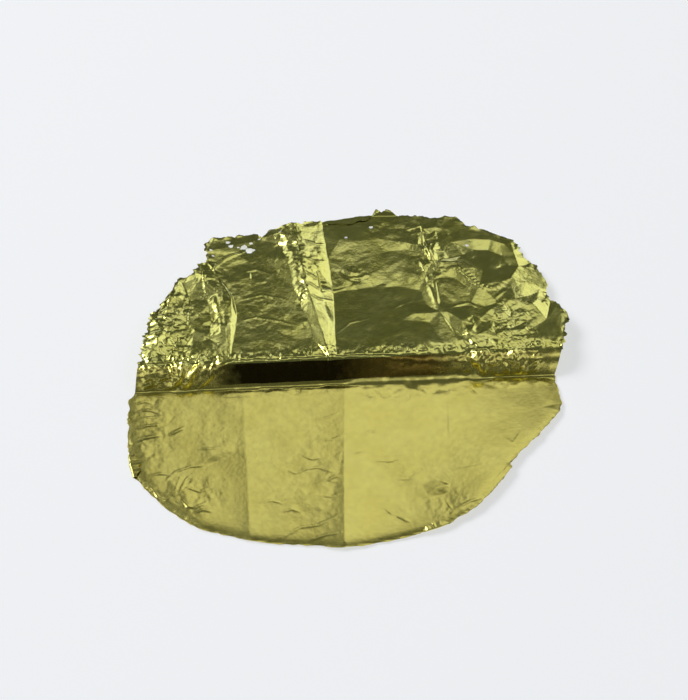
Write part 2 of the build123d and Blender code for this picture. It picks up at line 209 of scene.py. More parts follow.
class SheetSizes(bpy.types.PropertyGroup):
    """Sizes of the sheet, its folds and its turned edges"""
    half_span: FloatProperty(name="Half span", description="From the sheet's middle line to the side",
                             default=40 * MM, unit="LENGTH", precision=5)
    near_depth: FloatProperty(name="Near leaf depth", description="From the spine to the torn front edge",
                              default=37 * MM, unit="LENGTH", precision=5)
    far_depth: FloatProperty(name="Far leaf depth",
                             description="From the ridge to the torn back edge, in plan",
                             default=38 * MM, unit="LENGTH", precision=5)
    far_fall: FloatProperty(name="Far leaf fall", description="How steeply the far leaf falls to the table",
                            default=math.radians(7.42), subtype="ANGLE")
    thickness: FloatProperty(name="Foil thickness", description="Thickness of the foil",
                             default=0.05 * MM, unit="LENGTH", precision=6)
    table_gap: FloatProperty(name="Table gap", description="Height of the near leaf's face over the table",
                             default=0.26 * MM, unit="LENGTH", precision=6)
    run_out: FloatProperty(name="Spine run out",
                           description="Length over which the near leaf rises to the spine",
                           default=14 * MM, unit="LENGTH", precision=5)
    run_out_height: FloatProperty(name="Spine height",
                                  description="Height that the near leaf gains at the spine",
                                  default=0.14 * MM, unit="LENGTH", precision=5)
    spine_bend: FloatProperty(name="Spine bend",
                              description="Half the length of the bend at the spine, at the left",
                              default=0.3 * MM, unit="LENGTH", precision=5)
    spine_bend_right: FloatProperty(name="Right spine bend", description="The same, right of the middle",
                                    default=1.7 * MM, unit="LENGTH", precision=5)
    ridge_bend: FloatProperty(name="Ridge bend",
                              description="Half the length of the bend at the ridge, in the middle",
                              default=0.5 * MM, unit="LENGTH", precision=5)
    ridge_bend_ends: FloatProperty(name="Outer ridge bend", description="The same at both ends",
                                   default=2.2 * MM, unit="LENGTH", precision=5)
    ridge_slump: FloatProperty(name="Ridge slump",
                               description="How much earlier the ridge bends at both ends",
                               default=2.0 * MM, unit="LENGTH", precision=5)
    corner_lift: FloatProperty(name="Corner lift", description="How far the near leaf's right corner lifts",
                               default=1.9 * MM, unit="LENGTH", precision=5)
    lift_run: FloatProperty(name="Lift run", description="Distance from the spine at which the lift is full",
                            default=22 * MM, unit="LENGTH", precision=5)
    centre_rise: FloatProperty(name="Centre rise", description="Height of the near leaf's centre crease",
                               default=0.42 * MM, unit="LENGTH", precision=5)
    quarter_rise: FloatProperty(name="Quarter rise", description="Height of its left quarter crease",
                                default=0.14 * MM, unit="LENGTH", precision=5)
    crease_reach: FloatProperty(name="Crease reach", description="How far from a crease the leaf falls back",
                                default=7 * MM, unit="LENGTH", precision=5)
    front_droop: FloatProperty(name="Front droop", description="How far the near leaf's torn edge turns down",
                               default=0.2 * MM, unit="LENGTH", precision=5)
    lap: FloatProperty(name="Fold lap", description="How far a leaf's panels reach round the spine or ridge",
                       default=0.8 * MM, unit="LENGTH", precision=5)
    curl_radius: FloatProperty(name="Curl radius", description="Radius of the rolled left edge",
                               default=0.22 * MM, unit="LENGTH", precision=5)
    curl_flat: FloatProperty(name="Curl flat", description="Flat run after the roll of the left edge",
                             default=1.5 * MM, unit="LENGTH", precision=5)
    front_hem_radius: FloatProperty(name="Front hem radius", description="Radius of the turned hem in front",
                                    default=0.16 * MM, unit="LENGTH", precision=5)
    front_hem_flat: FloatProperty(name="Front hem flat", description="Flat run of the turned hem in front",
                                  default=1.0 * MM, unit="LENGTH", precision=5)
    back_hem_radius: FloatProperty(name="Back hem radius", description="Radius of the folded hem at the back",
                                   default=0.06 * MM, unit="LENGTH", precision=5)
    back_hem_flat: FloatProperty(name="Back hem flat", description="Flat run of the folded hem at the back",
                                 default=1.6 * MM, unit="LENGTH", precision=5)
    tear: FloatProperty(name="Tear depth", description="How ragged the near leaf's edges are",
                        default=0.26 * MM, unit="LENGTH", precision=5)
    far_tear: FloatProperty(name="Far tear depth", description="How ragged the far leaf's edges are",
                            default=0.5 * MM, unit="LENGTH", precision=5)
    edge_lip: FloatProperty(name="Edge lip", description="How far the far leaf's torn edges crinkle up",
                            default=0.3 * MM, unit="LENGTH", precision=5)


class FoilColours(bpy.types.PropertyGroup):
    """Colours and finish of the foil"""
    leaf: FloatVectorProperty(name="Leaf", description="Reflected colour of the foil", subtype="COLOR",
                              size=3, min=0, max=1, default=(0.755, 0.68, 0.185))
    leaf_pale: FloatVectorProperty(name="Pale leaf", description="Colour of the paler clouds",
                                   subtype="COLOR", size=3, min=0, max=1, default=(0.79, 0.72, 0.21))
    far_leaf: FloatVectorProperty(name="Far leaf", description="Reflected colour of the far leaf",
                                  subtype="COLOR", size=3, min=0, max=1, default=(0.73, 0.715, 0.20))
    far_leaf_pale: FloatVectorProperty(name="Pale far leaf", description="Its paler clouds", subtype="COLOR",
                                       size=3, min=0, max=1, default=(0.77, 0.76, 0.25))
    # Painted shade inside the fold: its dark colour, and the brownish colour it turns to right of the middle
    fold_shade: FloatVectorProperty(name="Fold shade",
                                    description="Colour of the shade painted inside the fold",
                                    subtype="COLOR", size=3, min=0, max=1, default=(0.055, 0.04, 0.012))
    fold_brown_shade: FloatVectorProperty(name="Fold brown shade", description="Colour of the brownish shade painted right of the middle",
                                    subtype="COLOR", size=3, min=0, max=1, default=(0.34, 0.24, 0.05))
    speck: FloatVectorProperty(name="Specks", description="Colour of the dark specks", subtype="COLOR",
                               size=3, min=0, max=1, default=(0.05, 0.04, 0.01))
    near_roughness: FloatProperty(name="Near roughness", description="Roughness of the near leaf",
                                  default=0.21, min=0, max=1, subtype="FACTOR")
    far_roughness: FloatProperty(name="Far roughness", description="Roughness of the far leaf",
                                 default=0.19, min=0, max=1, subtype="FACTOR")
    riser_roughness: FloatProperty(name="Riser roughness", description="Roughness of the riser",
                                   default=0.25, min=0, max=1, subtype="FACTOR")


class StudioSizes(bpy.types.PropertyGroup):
    """Camera, floor and lamps"""
    camera_azimuth: FloatProperty(name="Camera azimuth", description="Turn of the camera round the sheet",
                                  default=math.radians(-3.2), subtype="ANGLE")
    camera_elevation: FloatProperty(name="Camera elevation", description="Height of the camera as an angle",
                                    default=math.radians(50), subtype="ANGLE")
    camera_distance: FloatProperty(name="Camera distance", description="From the camera to its target",
                                   default=0.45, unit="LENGTH")
    camera_target: FloatVectorProperty(name="Camera target", description="Point that the camera looks at",
                                       subtype="TRANSLATION", size=3, default=(-0.000572, 0.005432, 0))
    camera_lens: FloatProperty(name="Camera lens", description="Focal length in millimetres",
                               default=123.74, min=10)
    floor_colour: FloatVectorProperty(name="Floor", description="Colour of the table", subtype="COLOR",
                                      size=3, min=0, max=1, default=(0.86, 0.87, 0.89))
    floor_glow: FloatVectorProperty(name="Backdrop",
                                    description="Colour of the backdrop that shows in the floor",
                                    subtype="COLOR", size=3, min=0, default=(1.07, 1.09, 1.135))
    floor_size: FloatProperty(name="Floor size", description="Side of the square floor", default=6,
                              unit="LENGTH")
    lamp_distance: FloatProperty(name="Lamp distance", description="From the sheet to each softbox",
                                 default=1.5, unit="LENGTH")
    ambient: FloatVectorProperty(name="Ambient", description="Light from all round", subtype="COLOR",
                                 size=3, min=0, default=(0.075, 0.082, 0.066))


# Mesh steps along and across the panels
OUTER_COLUMNS = 96
INNER_COLUMNS = 92
NEAR_ROWS = 170
LAP_ROWS = 4
RISER_ROWS = 22
FRONT_ROWS = 98
BACK_ROWS = 86
GORE_COLUMNS = 24
RIGHT_COLUMNS = 110
END_COLUMNS = 34
END_ROWS = 62
CORNER_ROWS = 18
CURL_ROWS = 28
HEM_COLUMNS = 26
STRIP_COLUMNS = 52
STRIP_ROWS = 14
CURL_STEPS = 14

# Corners where outlines meet: share of the half span, share of the leaf's depth, height in millimetres
NEAR_LEFT_END_SPOT = (-0.975, 0.0, 0.0)
CURL_START_SPOT = (-1.002, 0.383, 0.1)
CURL_END_SPOT = (-0.98, 0.524, 0.1)
NEAR_LEFT_CORNER_SPOT = (-0.926, 0.6, 0.15)
LEFT_QUARTER_FRONT_SPOT = (-0.472, 0.928, 0.03)
CENTRE_FRONT_SPOT = (-0.059, 0.999, 0.09)
FRONT_HEM_START_SPOT = (0.291, 0.93, 0.06)
RIGHT_QUARTER_FRONT_SPOT = (0.408, 0.896, 0.05)
NEAR_RIGHT_CORNER_SPOT = (0.709, 0.591, 0.05)
NEAR_RIGHT_END_SPOT = (0.964, 0.0, 0.0)
FAR_LEFT_CORNER_SPOT = (-0.829, 0.459, 0.1)
STREAK_BACK_SPOT = (-0.632, 0.731, 0.3)
FLAP_CREASE_LEFT_SPOT = (-0.631, 0.798, 0.5)
FLAP_CREASE_RIGHT_SPOT = (-0.359, 0.882, 0.45)
FLAP_BACK_LEFT_SPOT = (-0.635, 0.868, 0.35)
FLAP_BACK_RIGHT_SPOT = (-0.377, 0.925, 0.3)
GORE_BACK_LEFT_SPOT = (-0.191, 0.962, 1.5)
LENS_LEFT_SPOT = (-0.034, 0.498, -0.38)
CENTRE_BACK_SPOT = (-0.058, 0.997, 0.2)
HEM_RIGHT_SPOT = (0.184, 1.026, 0.42)
TAB_TIP_LEFT_SPOT = (0.205, 1.066, 0.9)
TAB_TIP_RIGHT_SPOT = (0.282, 1.044, 0.9)
TAB_RIGHT_SPOT = (0.306, 1.019, 0.48)
STAR_MIDDLE_SPOT = (0.447, 0.637, 0.5)
STAR_BACK_END_SPOT = (0.408, 1.004, 0.5)
BOWL_CORNER_SPOT = (0.844, 0.796, 0.3)
WAVY_RIGHT_SPOT = (0.95, 0.572, 0.0)
END_CREASE_BACK_SPOT = (0.986, 0.343, -0.4)
RIGHT_TIP_SPOT = (1.047, 0.209, -0.25)

# Outlines of the panels and the creases between them, in the same shares and millimetres
NEAR_LEFT_QUARTER_SHARES = [(-0.478, 0.0, 0.0), (-0.474, 0.45, 0.02), LEFT_QUARTER_FRONT_SPOT]
NEAR_CENTRE_SHARES = [(-0.007, 0.0, 0.0), (-0.03, 0.4, 0.07), CENTRE_FRONT_SPOT]
NEAR_RIGHT_QUARTER_SHARES = [(0.465, 0.0, 0.0), (0.44, 0.4, 0.0), (0.425, 0.66, 0.0), RIGHT_QUARTER_FRONT_SPOT]
NEAR_LEFT_EDGE_SHARES = [NEAR_LEFT_END_SPOT, (-1.002, 0.043, 0.15), (-1.011, 0.24, 0.1), CURL_START_SPOT]
EDGE_CURL_SHARES = [CURL_START_SPOT, CURL_END_SPOT]
NEAR_LEFT_CORNER_SHARES = [CURL_END_SPOT, NEAR_LEFT_CORNER_SPOT]
NEAR_LEFT_FRONT_SHARES = [NEAR_LEFT_CORNER_SPOT, (-0.821, 0.737, 0.05), (-0.69, 0.845, 0.15),
                          (-0.568, 0.893, 0.05), LEFT_QUARTER_FRONT_SPOT]
NEAR_LEFT_MIDDLE_SHARES = [LEFT_QUARTER_FRONT_SPOT, (-0.342, 0.954, 0.0), (-0.202, 0.974, 0.0),
                           CENTRE_FRONT_SPOT]
NEAR_RIGHT_MIDDLE_SHARES = [CENTRE_FRONT_SPOT, (0.06, 0.984, 0.06), (0.175, 0.959, 0.03), FRONT_HEM_START_SPOT]
FRONT_HEM_SHARES = [FRONT_HEM_START_SPOT, RIGHT_QUARTER_FRONT_SPOT]
NEAR_RIGHT_FRONT_SHARES = [RIGHT_QUARTER_FRONT_SPOT, (0.539, 0.804, 0.03), (0.649, 0.668, 0.03),
                           NEAR_RIGHT_CORNER_SPOT]
NEAR_RIGHT_EDGE_SHARES = [NEAR_RIGHT_CORNER_SPOT, (0.704, 0.554, 0.05), (0.764, 0.489, 0.0),
                          (0.855, 0.384, 0.06), (0.963, 0.238, 0.1), (0.978, 0.191, 0.0), (0.966, 0.088, 0.1),
                          NEAR_RIGHT_END_SPOT]
RISER_CUT_SHARES = [(-0.975, -0.955), (-0.478, -0.478), (-0.007, -0.04), (0.465, 0.465), (0.964, 1.005)]
LEFT_STREAK_SHARES = [(-0.531, 0.0, 0.0), (-0.513, 0.42, 0.8), (-0.591, 0.617, 0.6), STREAK_BACK_SPOT]
GORE_LEFT_SHARES = [(-0.077, 0.0, 0.36), (-0.155, 0.461, 1.3), (-0.196, 0.962, 1.55)]
FAR_CENTRE_FRONT_SHARES = [(-0.04, 0.0, 0.0), (-0.037, 0.25, -0.19), LENS_LEFT_SPOT]
FAR_CENTRE_BACK_SHARES = [LENS_LEFT_SPOT, (-0.045, 0.72, 0.08), CENTRE_BACK_SPOT]
STAR_FRONT_SHARES = [(0.595, 0.0, 0.0), (0.455, 0.275, 0.25), STAR_MIDDLE_SPOT]
STAR_BACK_SHARES = [STAR_MIDDLE_SPOT, STAR_BACK_END_SPOT]
LENS_SHARES = [LENS_LEFT_SPOT, (0.157, 0.597, -0.08), (0.346, 0.7, 0.12), STAR_MIDDLE_SPOT]
WAVY_SHARES = [STAR_MIDDLE_SPOT, (0.557, 0.632, 0.9), (0.66, 0.451, 0.75), (0.805, 0.48, 0.6),
               WAVY_RIGHT_SPOT]
RIGHT_END_CREASE_SHARES = [(0.899, 0.0, 0.0), (0.95, 0.2, -0.15), END_CREASE_BACK_SPOT]
FLAP_CREASE_SHARES = [FLAP_CREASE_LEFT_SPOT, FLAP_CREASE_RIGHT_SPOT]
FAR_LEFT_EDGE_SHARES = [(-0.955, 0.0, 0.0), (-0.939, 0.067, -0.1), (-0.917, 0.243, 0.1), (-0.899, 0.337, 0.0),
                        FAR_LEFT_CORNER_SPOT]
FAR_LEFT_CORNER_SHARES = [FAR_LEFT_CORNER_SPOT, (-0.767, 0.589, 0.1), (-0.7, 0.658, 0.2), STREAK_BACK_SPOT]
BESIDE_FLAP_SHARES = [STREAK_BACK_SPOT, FLAP_CREASE_LEFT_SPOT]
BEHIND_FLAP_SHARES = [FLAP_CREASE_RIGHT_SPOT, (-0.318, 0.957, 0.3), (-0.22, 0.964, 1.3), GORE_BACK_LEFT_SPOT]
FLAP_LEFT_SHARES = [FLAP_CREASE_LEFT_SPOT, FLAP_BACK_LEFT_SPOT]
FLAP_BACK_SHARES = [FLAP_BACK_LEFT_SPOT, (-0.581, 0.904, 0.45), (-0.464, 0.915, 0.3), FLAP_BACK_RIGHT_SPOT]
FLAP_RIGHT_SHARES = [FLAP_CREASE_RIGHT_SPOT, FLAP_BACK_RIGHT_SPOT]
GORE_BACK_SHARES = [GORE_BACK_LEFT_SPOT, (-0.157, 0.965, 1.1), (-0.111, 1.001, 0.6), CENTRE_BACK_SPOT]
BACK_HEM_SHARES = [CENTRE_BACK_SPOT, (0.075, 1.014, 0.35), HEM_RIGHT_SPOT]
BACK_TAB_ROOT_SHARES = [HEM_RIGHT_SPOT, TAB_RIGHT_SPOT]
BACK_TAB_LEFT_SHARES = [HEM_RIGHT_SPOT, TAB_TIP_LEFT_SPOT]
BACK_TAB_TIP_SHARES = [TAB_TIP_LEFT_SPOT, (0.235, 1.05, 1.1), (0.256, 1.058, 0.8), TAB_TIP_RIGHT_SPOT]
BACK_TAB_RIGHT_SHARES = [TAB_RIGHT_SPOT, TAB_TIP_RIGHT_SPOT]
FAR_BACK_SHARES = [TAB_RIGHT_SPOT, STAR_BACK_END_SPOT]
BOWL_BACK_SHARES = [STAR_BACK_END_SPOT, (0.467, 1.001, 0.4), (0.594, 0.992, 0.3), (0.638, 0.933, 0.35),
                    (0.763, 0.858, 0.3), BOWL_CORNER_SPOT]
BOWL_RIGHT_SHARES = [WAVY_RIGHT_SPOT, (0.93, 0.606, -0.1), BOWL_CORNER_SPOT]
FAR_RIGHT_EDGE_SHARES = [END_CREASE_BACK_SPOT, (0.986, 0.424, -0.4), (0.971, 0.541, -0.1), WAVY_RIGHT_SPOT]
RIGHT_END_EDGE_SHARES = [(1.005, 0.0, 0.0), (1.031, 0.119, -0.1), RIGHT_TIP_SPOT]
RIGHT_END_BACK_SHARES = [END_CREASE_BACK_SPOT, (1.026, 0.316, -0.4), RIGHT_TIP_SPOT]

NEAR_LINES = [NEAR_LEFT_QUARTER_SHARES, NEAR_CENTRE_SHARES, NEAR_RIGHT_QUARTER_SHARES, NEAR_LEFT_EDGE_SHARES,
              EDGE_CURL_SHARES, NEAR_LEFT_CORNER_SHARES, NEAR_LEFT_FRONT_SHARES, NEAR_LEFT_MIDDLE_SHARES,
              NEAR_RIGHT_MIDDLE_SHARES, FRONT_HEM_SHARES, NEAR_RIGHT_FRONT_SHARES, NEAR_RIGHT_EDGE_SHARES]
FAR_LINES = [LEFT_STREAK_SHARES, GORE_LEFT_SHARES, FAR_CENTRE_FRONT_SHARES, FAR_CENTRE_BACK_SHARES,
             STAR_FRONT_SHARES, STAR_BACK_SHARES, LENS_SHARES, WAVY_SHARES, RIGHT_END_CREASE_SHARES,
             FLAP_CREASE_SHARES, FAR_LEFT_EDGE_SHARES, FAR_LEFT_CORNER_SHARES, BESIDE_FLAP_SHARES,
             BEHIND_FLAP_SHARES, FLAP_LEFT_SHARES, FLAP_BACK_SHARES, FLAP_RIGHT_SHARES, GORE_BACK_SHARES,
             BACK_HEM_SHARES, BACK_TAB_ROOT_SHARES, BACK_TAB_LEFT_SHARES, BACK_TAB_TIP_SHARES,
             BACK_TAB_RIGHT_SHARES, FAR_BACK_SHARES, BOWL_BACK_SHARES, BOWL_RIGHT_SHARES,
             FAR_RIGHT_EDGE_SHARES, RIGHT_END_EDGE_SHARES, RIGHT_END_BACK_SHARES]
NEAR_OUTER_LINES = [NEAR_LEFT_EDGE_SHARES, EDGE_CURL_SHARES, NEAR_LEFT_CORNER_SHARES, NEAR_LEFT_FRONT_SHARES,
                    NEAR_LEFT_MIDDLE_SHARES, NEAR_RIGHT_MIDDLE_SHARES, FRONT_HEM_SHARES,
                    NEAR_RIGHT_FRONT_SHARES, NEAR_RIGHT_EDGE_SHARES]
FAR_OUTER_LINES = [FAR_LEFT_EDGE_SHARES, FAR_LEFT_CORNER_SHARES, BESIDE_FLAP_SHARES, FLAP_LEFT_SHARES,
                   FLAP_BACK_SHARES, BEHIND_FLAP_SHARES, GORE_BACK_SHARES, BOWL_BACK_SHARES,
                   BOWL_RIGHT_SHARES, FAR_RIGHT_EDGE_SHARES, RIGHT_END_EDGE_SHARES, RIGHT_END_BACK_SHARES]

# Creases inside the panels: photo pixel across, photo pixel down, height in millimetres
FAR_CREASE_PIXELS = {
    "lens arc": [(341, 260, -0.04), (348, 248, 0.26), (360, 242, 0.36), (378, 240, 0.4), (398, 243, 0.42),
                 (412, 246, 0.45)],
    "lens front": [(344, 269, -0.14), (354, 262, -0.02), (366, 257, 0.05), (388, 252, 0.12), (408, 250, 0.2)],
    "light band back": [(388, 273, -0.14), (402, 272, -0.08), (420, 275, 0.04)],
    "light band front": [(348, 289, -0.44), (370, 286, -0.46), (398, 285, -0.43), (420, 289, -0.3)],
    "dark field back": [(350, 302, -0.37), (375, 301, -0.38), (402, 301, -0.36), (426, 304, -0.25)],
    "dark field middle": [(350, 320, -0.22), (375, 319, -0.23), (402, 319, -0.22), (430, 322, -0.15)],
    "dark field front": [(350, 338, -0.08), (375, 338, -0.09), (402, 338, -0.08), (440, 338, -0.04)],
    "star bits": [(418, 246, 0.6), (425, 254, 0.35), (431, 257, 0.65), (438, 262, 0.4)],
    "star to streak": [(438, 306, 0.25), (448, 313, 0.3), (460, 320, 0.4), (470, 334, 0.5), (481, 352, 0.5),
                       (488, 368, 0.1)],
    "beside the streak": [(450, 323, 0.0), (460, 342, -0.06), (471, 358, -0.08), (480, 368, -0.05)],
    "right of the streak": [(478, 322, 0.35), (486, 336, 0.25), (492, 352, 0.2), (496, 366, 0.0)],
    "bowl floor": [(462, 256, 0.15), (474, 250, -0.05), (488, 250, -0.1), (502, 256, 0.0), (508, 266, 0.1)],
    "bowl rim back": [(450, 244, 0.45), (470, 240, 0.35), (490, 241, 0.35)],
    "bowl rim right": [(506, 246, 0.45), (514, 256, 0.55), (518, 268, 0.5)],
    "pale facet front": [(441, 303, 0.15), (455, 306, 0.1), (470, 305, 0.15), (486, 308, 0.2)],
    "pale facet back": [(446, 284, 0.35), (458, 282, 0.4), (470, 290, 0.4)],
    "patch front": [(496, 342, -0.1), (512, 346, -0.1), (530, 344, -0.1)],
    "patch back": [(498, 304, 0.45), (515, 301, 0.55), (533, 305, 0.4), (544, 316, 0.1)],
    "left streak top": [(199, 264, 0.2), (203, 278, 0.75), (207, 300, 0.25)],
    "left streak middle": [(207, 300, 0.25), (211, 318, 0.1), (209, 342, 0.0)],
    "left streak right": [(217, 296, 0.6), (224, 312, 0.74), (226, 330, 0.68), (223, 344, 0.36)],
    "left streak foot": [(232, 296, 0.25), (237, 318, 0.1), (238, 342, 0.0)],
    "pinhole line": [(213, 272, 0.75), (222, 264, 0.7), (234, 256, 0.65)],
    "behind the pinhole line": [(216, 264, 0.2), (228, 256, 0.25), (240, 254, 0.3)],
    "left end valley": [(183, 283, -0.1), (190, 300, -0.2), (186, 325, 0.1), (176, 345, -0.2)],
    "left end ridge": [(170, 298, 0.6), (165, 320, 0.5), (158, 342, 0.7), (150, 362, 0.3)],
    "behind the left panel": [(250, 262, 0.35), (252, 290, 0.25), (250, 322, 0.1)],
    "beside the gore": [(284, 236, 1.15), (288, 262, 1.0), (294, 290, 0.7), (310, 326, 0.35)],
    "left of the gore": [(262, 240, 0.55), (266, 262, 0.45), (272, 296, 0.3), (300, 338, 0.1)],
    "gore middle": [(311, 230, 0.78), (314, 250, 0.75), (317, 272, 0.7), (322, 296, 0.55), (329, 320, 0.32)],
}
NEAR_CREASE_PIXELS = {
    "left dent back": [(185, 467, 0.02), (202, 464, 0.05), (212, 456, 0.09), (222, 452, 0.07),
                       (236, 447, 0.02)],
    "left dent front": [(203, 469, 0.0), (213, 463, -0.03), (224, 459, -0.02), (236, 453, 0.0)],
    "right dent back": [(428, 497, 0.02), (436, 490, 0.09), (446, 488, 0.09), (457, 492, 0.02)],
    "behind the right dent": [(422, 486, 0.0), (436, 481, 0.0), (450, 481, 0.0), (463, 486, 0.0)],
    "right dent front": [(430, 500, 0.0), (444, 497, -0.03), (458, 497, 0.0)],
    "right facet left": [(418, 519, 0.02), (427, 501, 0.0)],
    "dark low back": [(262, 505, 0.05), (290, 498, 0.08), (316, 494, 0.09)],
    "dark low front": [(268, 530, 0.0), (300, 524, 0.0), (320, 520, 0.01)],
}

# Short wrinkles: leaf, height in millimetres, half width in millimetres, photo pixels along the line
WRINKLES = [
    ("near", 0.05, 0.40, [(134, 405), (145, 402), (152, 404)]),
    ("near", 0.06, 0.40, [(136, 413), (148, 410), (160, 414)]),
    ("near", 0.05, 0.35, [(136, 421), (146, 418), (158, 417)]),
    ("near", 0.07, 0.45, [(135, 430), (147, 426), (160, 425)]),
    ("near", 0.10, 0.55, [(133, 443), (146, 438), (160, 436)]),
    ("near", 0.08, 0.50, [(170, 435), (178, 431), (184, 428)]),
    ("near", 0.04, 0.35, [(140, 397), (155, 396), (170, 399)]),
    ("near", 0.04, 0.35, [(200, 450), (210, 449), (222, 448)]),
    ("near", 0.05, 0.40, [(167, 480), (176, 472), (190, 467), (202, 466)]),
    ("near", 0.05, 0.40, [(150, 476), (160, 474), (170, 475)]),
    ("near", 0.05, 0.35, [(150, 485), (158, 497), (166, 500), (176, 490), (180, 478)]),
    ("near", 0.05, 0.40, [(180, 492), (186, 480), (190, 476)]),
    ("near", 0.06, 0.40, [(182, 500), (188, 507), (196, 508), (206, 503)]),
    ("near", 0.06, 0.45, [(195, 513), (203, 510), (212, 512)]),
    ("near", 0.05, 0.40, [(178, 495), (188, 488), (200, 492), (210, 488)]),
    ("near", 0.03, 0.45, [(320, 420), (332, 417), (338, 414)]),
    ("near", 0.03, 0.40, [(322, 440), (332, 441), (340, 438)]),
    ("near", 0.04, 0.45, [(300, 455), (312, 460), (322, 458)]),
    ("near", 0.04, 0.50, [(300, 470), (318, 468), (336, 474)]),
    ("near", 0.04, 0.50, [(325, 482), (335, 478), (342, 476)]),
    ("near", 0.03, 0.40, [(286, 470), (296, 474), (306, 470)]),
    ("near", 0.03, 0.40, [(320, 496), (330, 498), (341, 495)]),
    ("near", 0.03, 0.35, [(262, 503), (272, 501), (282, 504)]),
    ("near", 0.03, 0.40, [(284, 512), (292, 510), (300, 512)]),
    ("near", 0.04, 0.50, [(286, 536), (300, 528), (318, 526), (336, 518)]),
    ("near", 0.04, 0.50, [(310, 541), (325, 536), (341, 534)]),
    ("near", 0.03, 0.40, [(352, 454), (362, 452)]),
    ("near", 0.03, 0.45, [(375, 461), (390, 462), (402, 458)]),
    ("near", 0.03, 0.45, [(398, 480), (410, 480), (420, 474)]),
    ("near", 0.03, 0.35, [(455, 472), (468, 471), (482, 469)]),
    ("near", 0.03, 0.35, [(362, 435), (372, 432), (380, 434)]),
    ("near", 0.06, 0.30, [(472, 391), (475, 396)]),
    ("near", 0.05, 0.30, [(385, 509), (392, 515)]),
    ("near", 0.06, 0.30, [(396, 516), (409, 523)]),
    ("near", 0.05, 0.35, [(446, 503), (452, 512)]),
    ("near", 0.05, 0.35, [(455, 512), (470, 505), (482, 502)]),
    ("near", 0.03, 0.35, [(505, 442), (513, 447), (520, 435)]),
    ("far", 0.13, 0.55, [(211, 274), (225, 262), (240, 255), (249, 250)]),
    ("far", 0.12, 0.50, [(201, 264), (204, 280), (206, 296)]),
    ("far", 0.10, 0.60, [(213, 300), (219, 318), (222, 338)]),
    ("far", 0.10, 0.50, [(304, 262), (316, 264), (327, 262)]),
    ("far", 0.12, 0.50, [(303, 276), (316, 281), (329, 282)]),
    ("far", 0.12, 0.45, [(306, 286), (318, 291), (334, 290), (345, 287)]),
    ("far", 0.10, 0.50, [(310, 298), (320, 302), (333, 300)]),
    ("far", 0.07, 0.45, [(306, 244), (316, 247), (325, 245)]),
    ("far", 0.13, 1.00, [(443, 284), (445, 276), (451, 271), (458, 271), (466, 276), (474, 284), (482, 289),
                         (492, 291), (502, 287), (510, 278), (517, 270)]),
    ("far", 0.14, 0.55, [(429, 286), (433, 296), (437, 306)]),
    ("far", 0.14, 0.45, [(452, 307), (468, 304), (479, 308)]),
    ("far", 0.10, 0.50, [(423, 249), (431, 257), (437, 266)]),
    ("far", 0.09, 0.50, [(418, 256), (424, 270), (430, 284)]),
    ("far", 0.08, 0.50, [(436, 240), (433, 252), (440, 275)]),
    ("far", 0.10, 0.40, [(406, 232), (420, 228), (432, 236)]),
    ("far", 0.12, 0.50, [(495, 301), (500, 296), (506, 292)]),
    ("far", 0.06, 0.40, [(338, 332), (350, 322), (370, 317)]),
    ("far", 0.05, 0.40, [(392, 308), (402, 303), (412, 300)]),
    ("far", 0.06, 0.45, [(240, 275), (256, 271), (272, 276)]),
    ("far", 0.06, 0.45, [(244, 300), (262, 296), (284, 301)]),
    ("far", 0.06, 0.45, [(238, 322), (256, 318), (280, 322), (300, 328)]),
    ("riser", 0.60, 0.85, [(174, 388), (181, 376), (183, 362)]),
    ("riser", 0.75, 0.95, [(185, 389), (190, 377), (199, 366), (201, 356)]),
    ("riser", 0.45, 0.70, [(200, 387), (210, 377), (213, 366)]),
    ("riser", 0.26, 0.90, [(466, 354), (476, 364), (487, 374)]),
    ("riser", 0.22, 0.80, [(514, 352), (519, 363), (528, 373)]),
]

